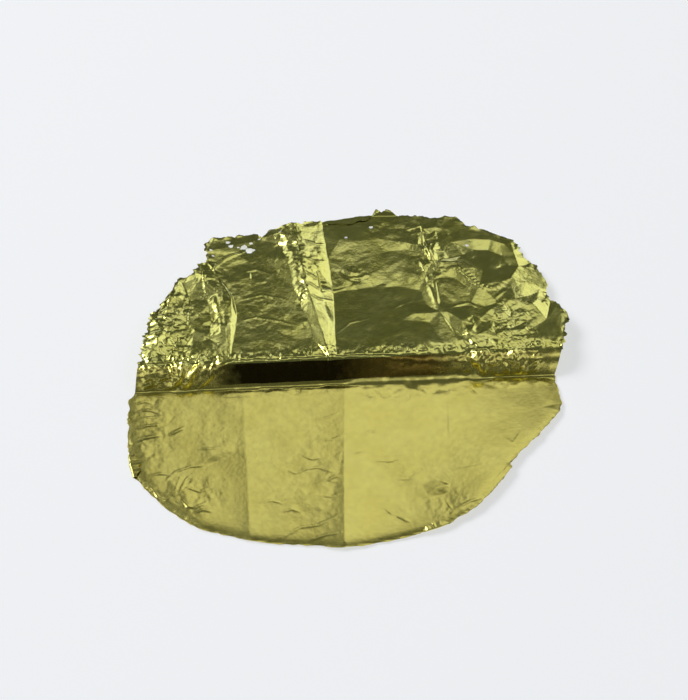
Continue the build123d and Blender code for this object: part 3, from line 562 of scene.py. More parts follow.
# Areas with their own crumpling: leaf, centre and half size in photo pixels, then heights in millimetres of
# the coarse, middle, small and fine facets there
CRUMPLED_AREAS = [
    ("far", 265, 295, 48, 60, 0.05, 0.030, 0.018, 0.008),
    ("far", 162, 335, 36, 60, 0.24, 0.150, 0.080, 0.034),
    ("far", 212, 305, 22, 48, 0.11, 0.080, 0.040, 0.016),
    ("far", 288, 248, 16, 26, 0.14, 0.110, 0.045, 0.015),
    ("far", 316, 268, 12, 40, 0.03, 0.050, 0.030, 0.012),
    ("far", 300, 276, 8, 48, 0.12, 0.110, 0.060, 0.025),
    ("far", 352, 275, 20, 10, 0.06, 0.090, 0.050, 0.018),
    ("far", 385, 281, 40, 8, 0.05, 0.030, 0.012, 0.004),
    ("far", 430, 262, 16, 30, 0.16, 0.110, 0.045, 0.015),
    ("far", 425, 232, 36, 14, 0.12, 0.050, 0.020, 0.005),
    ("far", 385, 318, 46, 30, 0.02, 0.012, 0.006, 0.002),
    ("far", 345, 354, 130, 9, 0.03, 0.040, 0.050, 0.030),
    ("far", 480, 358, 44, 18, 0.14, 0.110, 0.060, 0.030),
    ("far", 512, 322, 26, 24, 0.12, 0.110, 0.070, 0.030),
    ("far", 388, 230, 30, 12, 0.08, 0.050, 0.025, 0.008),
    ("far", 478, 335, 24, 30, 0.07, 0.060, 0.030, 0.012),
    ("far", 548, 296, 10, 12, 0.08, 0.100, 0.050, 0.020),
    ("far", 500, 272, 60, 36, 0.06, 0.020, 0.006, 0.000),
    ("near", 150, 430, 26, 52, 0.030, 0.022, 0.011, 0.004),
    ("near", 185, 495, 45, 26, 0.035, 0.024, 0.012, 0.004),
    ("near", 215, 420, 40, 40, 0.014, 0.008, 0.004, 0.001),
    ("near", 315, 480, 42, 60, 0.020, 0.012, 0.006, 0.002),
    ("near", 390, 470, 50, 60, 0.016, 0.008, 0.003, 0.001),
    ("near", 450, 508, 28, 18, 0.024, 0.018, 0.010, 0.004),
    ("near", 275, 392, 72, 6, 0.060, 0.035, 0.012, 0.002),
    ("near", 408, 394, 62, 7, 0.070, 0.040, 0.012, 0.002),
    ("near", 510, 384, 60, 5, 0.050, 0.030, 0.012, 0.002),
    ("riser", 172, 372, 46, 24, 0.42, 0.240, 0.110, 0.040),
    ("riser", 496, 362, 48, 26, 0.32, 0.220, 0.120, 0.050),
    ("riser", 345, 366, 130, 24, 0.04, 0.030, 0.020, 0.010),
]
PLAIN_HEIGHTS = {"near": (0.008, 0.003, 0.001, 0.0), "far": (0.04, 0.015, 0.006, 0.0),
                 "riser": (0.03, 0.02, 0.01, 0.0)}
FACET_SIZES = (2.6, 1.25, 0.7, 0.42)

# Pinholes: photo pixel across, photo pixel down, radius in millimetres
PINHOLE_PIXELS = [(206, 255, 0.3), (211, 252, 0.3), (213, 257, 0.22), (228, 244, 0.42), (231, 248, 0.46),
                  (238, 249, 0.22), (244, 249, 0.66), (250, 252, 0.78), (251, 245, 0.34), (260, 236, 0.4),
                  (259, 241, 0.26), (280, 236, 0.22), (346, 239, 0.28), (371, 229, 0.34), (467, 246, 0.34),
                  (384, 214, 0.24)]


# Geometry helpers

def smooth_step(part):
    """From 0 to 1, with soft ends."""
    part = np.clip(part, 0, 1)
    return part * part * (3 - 2 * part)


def ramp(across, start, steepness):
    """A soft step across the sheet."""
    return smooth_step((across - start) * steepness)


def value_names(group):
    """Names of the sizes or colours that a property group holds."""
    return [name for name in group.bl_rna.properties.keys() if name not in ("rna_type", "name")]


def camera_axes(studio):
    """Unit vectors from the target back to the camera, to its right and up, and the camera's place."""
    azimuth, elevation = studio.camera_azimuth, studio.camera_elevation
    back = np.array((math.sin(azimuth) * math.cos(elevation), -math.cos(azimuth) * math.cos(elevation),
                     math.sin(elevation)))
    right = np.array((math.cos(azimuth), math.sin(azimuth), 0))
    return back, right, np.cross(back, right), np.array(studio.camera_target) + back * studio.camera_distance


def spread(line, count):
    """An open line in equal steps, with its two ends kept."""
    line = np.array(line, float)
    reach = np.concatenate([[0], np.cumsum(np.linalg.norm(np.diff(line, axis=0), axis=1))])
    steps = np.linspace(0, reach[-1], count + 1)
    return np.stack([np.interp(steps, reach, line[:, axis]) for axis in range(line.shape[1])], axis=1)


def chain(*lines):
    """Lines joined end to end, with each shared spot kept once."""
    return np.concatenate([lines[0]] + [line[1:] for line in lines[1:]])


def ragged(line, count, depth, seed):
    """A torn edge: the line in small steps, pushed in and out by noise of several widths."""
    draw = np.random.default_rng(seed)
    spots = spread(line, count)
    along = np.gradient(spots, axis=0)
    outward = np.stack([along[:, 1], -along[:, 0]], axis=1)
    outward /= np.linalg.norm(outward, axis=1)[:, None] + 1e-12
    push = np.zeros(count + 1)
    widths = [(max(least, count // steps), share) for least, steps, share in TEAR_WIDTHS]
    for knots, share in [*widths, (count, TEAR_FINE_SHARE)]:
        shifts = draw.uniform(-1, 1, knots)
        push += share * np.interp(np.linspace(0, knots - 1, count + 1), np.arange(knots), shifts)
    fade = smooth_step(np.minimum(np.arange(count + 1), count - np.arange(count + 1)) / TEAR_FADE_STEPS)
    return spots + outward * (push * fade * depth)[:, None]


def stretched(front, back, left, right):
    """A grid of spots between four edges."""
    u = np.linspace(0, 1, len(front))[None, :, None]
    v = np.linspace(0, 1, len(left))[:, None, None]
    sides = left[:, None] * (1 - u) + right[:, None] * u
    ends = front[None] * (1 - v) + back[None] * v
    corners = (front[0] * (1 - u) + front[-1] * u) * (1 - v) + (back[0] * (1 - u) + back[-1] * u) * v
    return sides + ends - corners


class Sheet:
    """The unfolded sheet on a fine raster: x across it, and s along it over the spine and the ridge."""

    def __init__(self, sizes, studio):
        self.sizes, self.studio = sizes, studio
        self.step = RASTER_STEP
        self.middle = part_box("riser_left_outer_panel")[0].x - RISER_CUT_SHARES[0][0] * sizes.half_span
        reach = SPAN_REACH_SHARE * sizes.half_span
        self.low_x, self.low_s = self.middle - reach, -FRONT_REACH_SHARE * sizes.near_depth
        self.far_slope = sizes.far_depth / math.cos(sizes.far_fall)
        self.x = np.arange(self.low_x, self.middle + reach, self.step)
        self.s = np.arange(self.low_s, RISER_LENGTH + BACK_REACH_SHARE * self.far_slope, self.step)
        self.draw = np.random.default_rng(SHEET_SEED)
        self.relief = self.crumples()
        self.fold()

    def near_spot(self, across, depth):
        """A spot on the near leaf, as x and s, from its shares."""
        return self.middle + across * self.sizes.half_span, -depth * self.sizes.near_depth

    def far_spot(self, across, depth):
        """A spot on the far leaf, as x and s, from its shares."""
        return self.middle + across * self.sizes.half_span, RISER_LENGTH + depth * self.far_slope

    def riser_spot(self, foot, head, climb):
        """A spot on the riser, on the line between the shares at its foot and its head."""
        part = climb / RISER_LENGTH
        return self.middle + (foot + (head - foot) * part) * self.sizes.half_span, climb

    def photo_spot(self, leaf, across, down):
        """The place on a leaf that the photo shows at a pixel, as x and s."""
        back, right, up, eye = camera_axes(self.studio)
        scale = self.studio.camera_lens / CAMERA_SENSOR * PHOTO_LONG_SIDE
        ray = right * (across - PHOTO_MIDDLE[0]) / scale - up * (down - PHOTO_MIDDLE[1]) / scale - back
        if leaf == "near":
            point, slope = np.array((0, 0, self.sizes.table_gap)), 0.0
        elif leaf == "far":
            point, slope = np.array(RIDGE), -self.sizes.far_fall
        else:
            point, slope = np.array(SPINE), RISER_LEAN
        normal = np.array((0, -math.sin(slope), math.cos(slope)))
        hit = eye + ray * ((point - eye) @ normal) / (ray @ normal)
        if leaf == "near":
            return hit[0], hit[1] - SPINE.y
        along = (hit[1] - point[1]) * math.cos(slope) + (hit[2] - point[2]) * math.sin(slope)
        return hit[0], along + (RISER_LENGTH if leaf == "far" else 0)

    def raster(self, spots, heights, creases=(), stretch=1.0):
        """Flat three-sided facets between spots, as heights on the raster."""
        flat = [Vector((x, s / stretch)) for x, s in spots]
        found = delaunay_2d_cdt(flat, list(creases), [], 0, TINY)
        corners = np.array([tuple(v) for v in found[0]])
        corners[:, 1] *= stretch
        given = np.array(spots)
        level = np.zeros(len(corners))
        for index, source in enumerate(found[3]):
            nearest = source[0] if source else int(np.argmin(np.sum((given - corners[index]) ** 2, axis=1)))
            level[index] = heights[nearest]
        field = np.zeros((len(self.s), len(self.x)))
        for face in found[2]:
            tri, lift = corners[list(face)], level[list(face)]
            low = np.floor((tri.min(0) - (self.low_x, self.low_s)) / self.step).astype(int)
            high = np.ceil((tri.max(0) - (self.low_x, self.low_s)) / self.step).astype(int) + 1
            low = np.maximum(low, 0)
            high = np.minimum(high, (len(self.x), len(self.s)))
            if (high <= low).any():
                continue
            px = self.x[low[0]:high[0]][None, :] - tri[0, 0]
            ps = self.s[low[1]:high[1]][:, None] - tri[0, 1]
            (ax, ay), (bx, by) = tri[1] - tri[0], tri[2] - tri[0]
            area = ax * by - ay * bx
            if abs(area) < SLIVER_AREA:
                continue
            u, v = (px * by - ps * bx) / area, (ps * ax - px * ay) / area
            inside = (u >= -EDGE_SLACK) & (v >= -EDGE_SLACK) & (u + v <= 1 + EDGE_SLACK)
            value = lift[0] + u * (lift[1] - lift[0]) + v * (lift[2] - lift[0])
            window = field[low[1]:high[1], low[0]:high[0]]
            window[inside] = value[inside]
        return field

    def scattered(self, spacing, stretch=1.0):
        """Random facets of about one size over the whole sheet, with heights from -1 to 1."""
        columns = np.arange(self.x[0] - spacing, self.x[-1] + 2 * spacing, spacing)
        rows = np.arange(self.s[0] - spacing * stretch, self.s[-1] + 2 * spacing * stretch, spacing * stretch)
        x, s = np.meshgrid(columns, rows)
        x = x + self.draw.uniform(-FACET_JITTER_SHARE, FACET_JITTER_SHARE, x.shape) * spacing
        s = s + self.draw.uniform(-FACET_JITTER_SHARE, FACET_JITTER_SHARE, s.shape) * spacing * stretch
        heights = self.draw.uniform(-1, 1, x.size)
        return self.raster(list(zip(x.ravel(), s.ravel())), heights, stretch=stretch)

    def main_creases(self):
        """The large facets: panel outlines and creases, with a few loose spots between them."""
        spots, heights, creases = [], [], []

        def add_line(line):
            start = len(spots)
            for x, s, height in line:
                spots.append((x, s))
                heights.append(height * MM)
            creases.extend((i, i + 1) for i in range(start, len(spots) - 1))

        for line in NEAR_LINES:
            add_line([(*self.near_spot(across, depth), height) for across, depth, height in line])
        for line in FAR_LINES:
            add_line([(*self.far_spot(across, depth), height) for across, depth, height in line])
        for leaf, lines in (("far", FAR_CREASE_PIXELS), ("near", NEAR_CREASE_PIXELS)):
            for line in lines.values():
                add_line([(*self.photo_spot(leaf, across, down), height) for across, down, height in line])
        for s in (0, RISER_LENGTH):
            add_line([(x, s, 0) for x in np.linspace(self.x[0], self.x[-1], CREASE_STEPS)])
        known, levels = np.array(spots), np.array(heights)
        spacing = LOOSE_SPACING
        for x in np.arange(self.x[0], self.x[-1] + spacing, spacing):
            for s in np.arange(self.s[0], self.s[-1] + spacing, spacing):
                jitter = self.draw.uniform(-LOOSE_JITTER_SHARE, LOOSE_JITTER_SHARE, 2)
                spot = np.array((x, s)) + jitter * spacing
                away = np.linalg.norm(known - spot, axis=1)
                loose = self.draw.uniform(-1, 1)
                if away.min() < LOOSE_GAP_SHARE * spacing:
                    continue
                weight = 1 / (away + LOOSE_SOFTENING) ** LOOSE_FALLOFF
                side = "near" if s < 0 else "far"
                base = (weight * levels).sum() / weight.sum()
                spots.append(tuple(spot))
                heights.append(base + loose * LOOSE_HEIGHTS[side] * MM)
        return self.raster(spots, heights, creases)

    def spot_fade(self, leaf, across, down, wide, high):
        """A soft-edged oval mask round a photo pixel, on the raster."""
        x, s = self.photo_spot(leaf, across, down)
        left, _ = self.photo_spot(leaf, across - wide, down)
        _, behind = self.photo_spot(leaf, across, down - high)
        reach = np.hypot((self.x[None, :] - x) / (x - left), (self.s[:, None] - s) / (behind - s))
        return smooth_step(AREA_REACH_SHARE - reach)

    def amounts(self):
        """Heights of the coarse, middle, small and fine facets, on the raster."""
        s = self.s[:, None]
        on_riser = smooth_step(s / LEAF_FADE) * smooth_step((RISER_LENGTH - s) / LEAF_FADE)
        on_far = smooth_step((s - RISER_LENGTH) / LEAF_FADE)
        on_near = smooth_step(-s / LEAF_FADE)
        masks = {"near": on_near, "far": on_far, "riser": on_riser}
        layers = []
        for layer in range(len(FACET_SIZES)):
            total = sum(PLAIN_HEIGHTS[leaf][layer] * mask for leaf, mask in masks.items())
            total = np.repeat(total, len(self.x), axis=1)
            for leaf, across, down, wide, high, *heights in CRUMPLED_AREAS:
                if heights[layer]:
                    mask = self.spot_fade(leaf, across, down, wide, high) * masks[leaf]
                    total = np.maximum(total, heights[layer] * mask)
            layers.append(total * MM)
        return layers

    def wrinkle(self, relief, leaf, height, half_width, pixels):
        """Adds one short raised line, which runs out at its ends."""
        line = spread([self.photo_spot(leaf, *pixel) for pixel in pixels], WRINKLE_STEPS)
        reach = half_width * MM * WRINKLE_REACH_SHARE
        low = ((line.min(0) - reach - (self.low_x, self.low_s)) / self.step).astype(int).clip(0)
        high = ((line.max(0) + reach - (self.low_x, self.low_s)) / self.step).astype(int) + 1
        x = self.x[low[0]:high[0]][None, :, None]
        s = self.s[low[1]:high[1]][:, None, None]
        away = np.hypot(x - line[:, 0], s - line[:, 1])
        nearest = away.argmin(axis=2)
        along = nearest / (len(line) - 1)
        profile = smooth_step(1 - away.min(axis=2) / (half_width * MM))
        along = np.clip(along, WRINKLE_END_SHARE, 1 - WRINKLE_END_SHARE)
        swell = np.sin(np.pi * along) ** WRINKLE_SWELL_POWER
        relief[low[1]:high[1], low[0]:high[0]] += height * MM * profile * swell

    def edge_distance(self):
        """Distance from the torn outline, on a coarse raster brought up to the fine one."""
        x, s = self.x[::EDGE_SKIP], self.s[::EDGE_SKIP]
        lines = [spread(self.near_line(line), EDGE_STEPS) for line in NEAR_OUTER_LINES]
        lines += [spread(self.far_line(line), EDGE_STEPS) for line in FAR_OUTER_LINES]
        points = np.concatenate(lines)
        away = np.full((len(s), len(x)), 1.0)
        for px, ps in points:
            away = np.minimum(away, np.hypot(x[None, :] - px, s[:, None] - ps))
        rows = np.stack([np.interp(self.x, x, line) for line in away])
        return np.stack([np.interp(self.s, s, rows[:, i]) for i in range(len(self.x))], axis=1)

    def crumples(self):
        """The height of the foil over its plain folded form."""
        sizes, s, x = self.sizes, self.s[:, None], self.x[None, :]
        relief = self.main_creases()
        for amount, size in zip(self.amounts(), FACET_SIZES):
            relief = relief + amount * self.scattered(size * MM)
            relief = relief + amount * LONG_FACET_AMOUNT_SHARE * self.scattered(
                size * LONG_FACET_SIZE_SHARE * MM, LONG_FACET_STRETCH)
        near = smooth_step(-s / NEAR_FADE)
        depth = np.clip(-self.s / sizes.near_depth, 0, 1)
        for shares, rise, reach in ((NEAR_CENTRE_SHARES, sizes.centre_rise, CENTRE_REACH_SHARE),
                                    (NEAR_LEFT_QUARTER_SHARES, sizes.quarter_rise, QUARTER_REACH_SHARE)):
            across, down, _ = zip(*shares)
            line = np.interp(depth, down, across)
            away = np.abs(x - self.middle - line[:, None] * sizes.half_span)
            swell = CREASE_LEAST_SHARE + CREASE_GROWTH_SHARE * depth[:, None]
            relief = relief + near * swell * rise * np.exp(-away / (reach * sizes.crease_reach))
        edge = self.edge_distance()
        relief = relief - near * sizes.front_droop * np.exp(-edge / DROOP_REACH)
        lip = (1 - near) * sizes.edge_lip * np.exp(-edge / LIP_REACH)
        relief = relief + lip * (LIP_PLAIN_SHARE + LIP_RAGGED_SHARE * self.scattered(LIP_FACET))
        fuzz = np.exp(-((self.s - RISER_LENGTH - FUZZ_PLACE) / FUZZ_REACH) ** 2)[:, None] * FUZZ_HEIGHT
        narrow = self.scattered(FUZZ_FACET, FUZZ_STRETCH)
        wide = self.scattered(FUZZ_WIDE_FACET, FUZZ_WIDE_STRETCH)
        relief = relief + fuzz * (narrow + FUZZ_WIDE_SHARE * wide)
        for wrinkle in WRINKLES:
            self.wrinkle(relief, *wrinkle)
        at_spine = 1 - SPINE_CALM_SHARE * np.exp(-(self.s / SPINE_CALM_REACH) ** 2)
        relief = relief * at_spine[:, None]
        relief[1:-1] = (relief[:-2] + 2 * relief[1:-1] + relief[2:]) / 4
        relief[:, 1:-1] = (relief[:, :-2] + 2 * relief[:, 1:-1] + relief[:, 2:]) / 4
        return relief

    def fold(self):
        """Bends the raster round the spine and the ridge, and works out its places and normals.

        Past the ridge all columns are brought to the height and the place of one of them, so that the far
        leaf stays level however soft each stretch of the two bends is.
        """
        sizes = self.sizes
        s = self.s[:, None]
        across = (self.x[None, :] - self.middle) / sizes.half_span
        sway = sum(share * np.sin(across * rate + shift) for rate, shift, share in SWAY_WAVES)
        valley = ramp(across, *VALLEY_START) * (1 - ramp(across, *VALLEY_END))
        spine = sizes.spine_bend * (SPINE_BEND_SHARE + SPINE_SWAY_SHARE * sway)
        spine = spine + (sizes.spine_bend_right - sizes.spine_bend) * valley
        coarse, fine = (np.interp(np.linspace(0, count - 1, len(self.x)), np.arange(count),
                                  self.draw.uniform(-1, 1, count)) for count in FRAY_KNOTS)
        fray = FRAY_COARSE * coarse + FRAY_FINE * fine
        slump = ramp(across, *SLUMP_RIGHT) + ramp(-across, *SLUMP_LEFT)
        ridge = sizes.ridge_bend + (sizes.ridge_bend_ends - sizes.ridge_bend) * slump
        past_spine = s + SWAY_REACH * sway
        past_ridge = s - RISER_LENGTH + sizes.ridge_slump * slump + fray
        pitch = 2 * sizes.run_out_height / sizes.run_out * np.clip(1 + s / sizes.run_out, 0, 1) * (s < 0)
        pitch = pitch + RISER_LEAN * smooth_step((past_spine + spine) / (2 * spine))
        pitch = pitch - (RISER_LEAN + sizes.far_fall) * smooth_step((past_ridge + ridge) / (2 * ridge))
        start = int(np.searchsorted(self.s, FLAT_START))
        run = np.cumsum(np.cos(pitch), axis=0) * self.step
        climb = np.cumsum(np.sin(pitch), axis=0) * self.step
        y = run - run[start] + SPINE.y + self.s[start]
        z = climb - climb[start] + sizes.table_gap
        beyond = int(np.searchsorted(self.s, RISER_LENGTH + EVEN_REACH))
        column = len(self.x) // REFERENCE_PART
        even = smooth_step((s + EVEN_LEAD) / (RISER_LENGTH + EVEN_REACH))
        y = y + even * (y[beyond, column] - y[beyond])
        z = z + even * (z[beyond, column] - z[beyond])
        lift = ramp(across, *LIFT_RAMP) * np.maximum(0, -s) / sizes.lift_run * sizes.corner_lift
        place = np.stack([np.broadcast_to(self.x[None, :], y.shape), y, z + lift], axis=2)
        normal = self.normals(place)
        place = place + normal * self.relief[..., None]
        place[..., 2] = np.maximum(place[..., 2], sizes.thickness + TABLE_CLEARANCE)
        self.place, self.normal = place, self.normals(place)

    def normals(self, place):
        """Unit normals of a grid of places."""
        along = np.gradient(place, axis=0)
        beside = np.gradient(place, axis=1)
        normal = np.cross(beside, along)
        return normal / np.linalg.norm(normal, axis=2)[..., None]

    def at(self, grid):
        """Places and normals of the foil at a grid of spots."""
        column = np.clip((grid[..., 0] - self.low_x) / self.step, 0, len(self.x) - LAST_CELL)
        row = np.clip((grid[..., 1] - self.low_s) / self.step, 0, len(self.s) - LAST_CELL)
        j, i = column.astype(int), row.astype(int)
        u, v = (column - j)[..., None], (row - i)[..., None]

        def mixed(field):
            return ((field[i, j] * (1 - u) + field[i, j + 1] * u) * (1 - v)
                    + (field[i + 1, j] * (1 - u) + field[i + 1, j + 1] * u) * v)

        place, normal = mixed(self.place), mixed(self.normal)
        return place, normal / np.linalg.norm(normal, axis=-1)[..., None]

    def near_line(self, shares):
        """A line on the near leaf, as x and s, from its shares."""
        return np.array([self.near_spot(across, depth) for across, depth, _ in shares])

    def far_line(self, shares):
        """A line on the far leaf, as x and s, from its shares."""
        return np.array([self.far_spot(across, depth) for across, depth, _ in shares])

    def round_spine(self, cut):
        """From the riser, one lap above the spine, down to the spine."""
        foot, head = RISER_CUT_SHARES[cut]
        ends = [self.riser_spot(foot, head, climb) for climb in (self.sizes.lap, 0)]
        return spread(ends, LAP_ROWS)


SHEETS = {}


def the_sheet():
    """The sheet for the sizes that the scene has now, worked out once for each set of them."""
    groups = (bpy.context.scene.foil_sizes, bpy.context.scene.foil_studio)
    key = tuple(tuple(np.ravel(getattr(group, name))) for group in groups for name in value_names(group))
    if key not in SHEETS:
        SHEETS[key] = Sheet(*groups)
    return SHEETS[key]


# Meshes

def pierce(grid, holes):
    """Draws the spots round each pinhole onto its rim, and returns which cells stay."""
    grid = grid.copy()
    middles = (grid[:-1, :-1] + grid[1:, :-1] + grid[:-1, 1:] + grid[1:, 1:]) / 4
    keep = np.ones(middles.shape[:2], bool)
    for x, s, radius in holes:
        away = grid - (x, s)
        distance = np.hypot(away[..., 0], away[..., 1])
        turn = np.arctan2(away[..., 1], away[..., 0])
        (first, first_waves, first_shift), (second, second_waves, second_shift) = RIM_WAVES
        rim = radius * (1 + first * np.sin(first_waves * turn + x * first_shift)
                        + second * np.sin(second_waves * turn + s * second_shift))
        inner, outer = RIM_NEAR_SHARES
        near = (distance < rim * outer) & (distance > rim * inner)
        pulled = rim + (distance - rim) * RIM_PULL_SHARE
        scale = np.where(near, pulled / np.maximum(distance, TINY), 1)
        grid = (x, s) + away * scale[..., None]
        gap = np.hypot(middles[..., 0] - x, middles[..., 1] - s)
        keep &= gap > radius
    return grid, keep


def foil_mesh(name, place, normal, thickness, keep=None):
    """A thin double wall over a grid of places, closed round its rim and round any missing cells."""
    rows, columns = place.shape[0] - 1, place.shape[1] - 1
    if keep is None:
        keep = np.ones((rows, columns), bool)
    count = place.shape[0] * place.shape[1]
    index = np.arange(count).reshape(place.shape[:2])
    corners = (index[:-1, :-1], index[:-1, 1:], index[1:, 1:], index[1:, :-1])
    a, b, c, d = (corner[keep] for corner in corners)
    top = np.stack([a, b, c, d], axis=1)
    bottom = np.stack([d, c, b, a], axis=1) + count
    steps = np.concatenate([np.stack(pair, axis=1) for pair in ((a, b), (b, c), (c, d), (d, a))])
    key = steps[:, 0].astype(np.int64) * count + steps[:, 1]
    back_key = steps[:, 1].astype(np.int64) * count + steps[:, 0]
    rim = steps[~np.isin(key, back_key)]
    wall = np.stack([rim[:, 1], rim[:, 0], rim[:, 0] + count, rim[:, 1] + count], axis=1)
    points = np.concatenate([place.reshape(-1, 3), (place - normal * thickness).reshape(-1, 3)])
    faces = np.concatenate([top, bottom, wall])
    used, faces = np.unique(faces, return_inverse=True)
    mesh = bpy.data.meshes.new(name)
    mesh.from_pydata(points[used].tolist(), [], faces.reshape(-1, 4).tolist())
    mesh.shade_smooth()
    facing = np.concatenate([normal.reshape(-1, 3), -normal.reshape(-1, 3)])
    mesh.normals_split_custom_set_from_vertices(facing[used].tolist())
    piece = bpy.data.objects.new(name, mesh)
    bpy.context.scene.collection.objects.link(piece)
    return piece


def foil_panel(name, grid, material, bodies):
    """One panel of the sheet, with its pinholes."""
    sheet = the_sheet()
    holes = [(*sheet.photo_spot("far", across, down), radius * MM)
             for across, down, radius in PINHOLE_PIXELS]
    grid, keep = pierce(grid, holes)
    place, normal = sheet.at(grid)
    piece = foil_mesh(name, place, normal, sheet.sizes.thickness, keep)
    finish_piece(piece, name, material, bodies)


def finish_piece(piece, node, material, bodies):
    """Dresses a piece, puts it in place of its node, and ties it to its body when it has one; with two bodies
    it only bakes its transform.
    """
    piece.data.materials.append(material)
    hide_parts(node)
    if len(bodies) == 1:
        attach(piece, bodies[0])
    else:
        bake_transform(piece)


def curled_strip(name, edge, radius, flat, material, body, outward_sign=1):
    """A strip that goes on from an edge, rolls up and back over the leaf and ends in a flat run.

    The sign is -1 where the leaf lies on the other side of the edge.
    """
    sheet = the_sheet()
    draw = np.random.default_rng(len(name))
    root = sheet.at(edge[None])[0][0]
    across = (edge[-1] - edge[0]) / np.linalg.norm(edge[-1] - edge[0])
    inside = np.array((-across[1], across[0])) * outward_sign * STRIP_PROBE
    facing = sheet.at(edge[None] + inside)[1]
    along = root[-1] - root[0]
    upward = np.median(facing[0], axis=0)
    outward = np.cross(along, upward) * outward_sign
    outward /= np.linalg.norm(outward)
    upward = np.cross(outward, along) * outward_sign
    upward /= np.linalg.norm(upward)
    upward *= np.sign(upward[2])
    part = np.linspace(0, 1, len(root))
    swell = np.sin(np.pi * np.clip(part, STRIP_END_SHARE, 1 - STRIP_END_SHARE)) ** 0.5
    size = radius * (STRIP_LEAST_SHARE + (1 - STRIP_LEAST_SHARE) * swell)
    sway = np.interp(part, np.linspace(0, 1, STRIP_FLAT_KNOTS), draw.uniform(-1, 1, STRIP_FLAT_KNOTS))
    reach = flat * swell * (1 + STRIP_FLAT_SWAY * sway)
    rows = []
    for step in range(CURL_STEPS + 1):
        turn = math.pi * step / CURL_STEPS
        rise = size * (1 - math.cos(turn))
        rows.append(root + outward * (size * math.sin(turn))[:, None] + upward * rise[:, None])
    for step in range(1, STRIP_FLAT_STEPS + 1):
        sag = -STRIP_SAG_SHARE * size * (step / STRIP_FLAT_STEPS) ** 2
        run = reach * step / STRIP_FLAT_STEPS
        rows.append(rows[CURL_STEPS] - outward * run[:, None] + upward * sag[:, None])
    place = np.stack(rows)
    ripple = np.interp(part, np.linspace(0, 1, STRIP_RIPPLE_KNOTS), draw.uniform(-1, 1, STRIP_RIPPLE_KNOTS))
    place[..., 2] += ripple * STRIP_RIPPLE * (np.arange(len(rows)) / len(rows))[:, None]
    normal = sheet.normals(place)
    if (normal[0] @ upward).mean() < 0:
        normal = -normal
        place, normal = place[:, ::-1], normal[:, ::-1]
    finish_piece(foil_mesh(name, place, normal, sheet.sizes.thickness), name, material, [body])


# Shader node groups

def new_group(name, inputs, outputs):
    """An empty node group with its sockets, and its nodes for what comes in and goes out."""
    group = bpy.data.node_groups.new(name, "ShaderNodeTree")
    for label, kind, default in inputs:
        socket = group.interface.new_socket(name=label, in_out="INPUT", socket_type=kind)
        socket.default_value = default
    for label, kind in outputs:
        group.interface.new_socket(name=label, in_out="OUTPUT", socket_type=kind)
    entry = group.nodes.new("NodeGroupInput")
    leave = group.nodes.new("NodeGroupOutput")
    return group, entry, leave


def feed(tree, value, socket):
    """Sets a socket to a number or a colour, or links another node's output to it."""
    if hasattr(value, "links"):
        tree.links.new(value, socket)
    else:
        socket.default_value = value


def noise(tree, vector, scale, detail):
    """Soft noise between 0 and 1."""
    node = tree.nodes.new("ShaderNodeTexNoise")
    node.inputs["Detail"].default_value = detail
    feed(tree, scale, node.inputs["Scale"])
    feed(tree, vector, node.inputs["Vector"])
    return node.outputs["Fac"]


def cell_texture(tree, vector, scale):
    """A texture of random cells, with the distance to each cell's middle and a colour for each."""
    node = tree.nodes.new("ShaderNodeTexVoronoi")
    feed(tree, scale, node.inputs["Scale"])
    feed(tree, vector, node.inputs["Vector"])
    return node


def math_node(tree, operation, first, second):
    """The result of one sum on two values."""
    node = tree.nodes.new("ShaderNodeMath")
    node.operation = operation
    for value, socket in zip((first, second), node.inputs):
        feed(tree, value, socket)
    return node.outputs[0]


def ranged(tree, value, from_low, from_high, to_low, to_high):
    """A value brought from one range to another and held inside it."""
    node = tree.nodes.new("ShaderNodeMapRange")
    given = {"Value": value, "From Min": from_low, "From Max": from_high, "To Min": to_low,
             "To Max": to_high}
    for label, number in given.items():
        feed(tree, number, node.inputs[label])
    return node.outputs["Result"]


def blend_colour(tree, factor, first, second):
    """A colour between two, where each is a colour or a node's output."""
    node = tree.nodes.new("ShaderNodeMix")
    node.data_type = "RGBA"
    feed(tree, factor, node.inputs["Factor"])
    for value, label in ((first, "A"), (second, "B")):
        socket = [s for s in node.inputs if s.name == label and s.type == "RGBA"][0]
        feed(tree, value, socket)
    return [s for s in node.outputs if s.type == "RGBA"][0]


def foil_clouds_group():
    """Soft clouds of paler colour and duller finish that drift over beaten foil."""
    group, entry, leave = new_group(
        "Foil Clouds",
        [("Colour", "NodeSocketColor", (0.76, 0.71, 0.24, 1)),
         ("Pale Colour", "NodeSocketColor", (0.8, 0.75, 0.3, 1)), ("Scale", "NodeSocketFloat", 120.0),
         ("Low Roughness", "NodeSocketFloat", 0.18), ("High Roughness", "NodeSocketFloat", 0.26)],
        [("Colour", "NodeSocketColor"), ("Roughness", "NodeSocketFloat")])
    spot = group.nodes.new("ShaderNodeTexCoord").outputs["Object"]
    cloud = noise(group, spot, entry.outputs["Scale"], CLOUD_DETAIL)
    factor = ranged(group, cloud, *CLOUD_RANGE, 0.0, 1.0)
    colour = blend_colour(group, factor, entry.outputs["Colour"], entry.outputs["Pale Colour"])
    group.links.new(colour, leave.inputs["Colour"])
    polish = noise(group, spot, POLISH_SCALE, POLISH_DETAIL)
    rough = ranged(group, polish, *POLISH_RANGE, entry.outputs["Low Roughness"],
                   entry.outputs["High Roughness"])
    group.links.new(rough, leave.inputs["Roughness"])
    return group


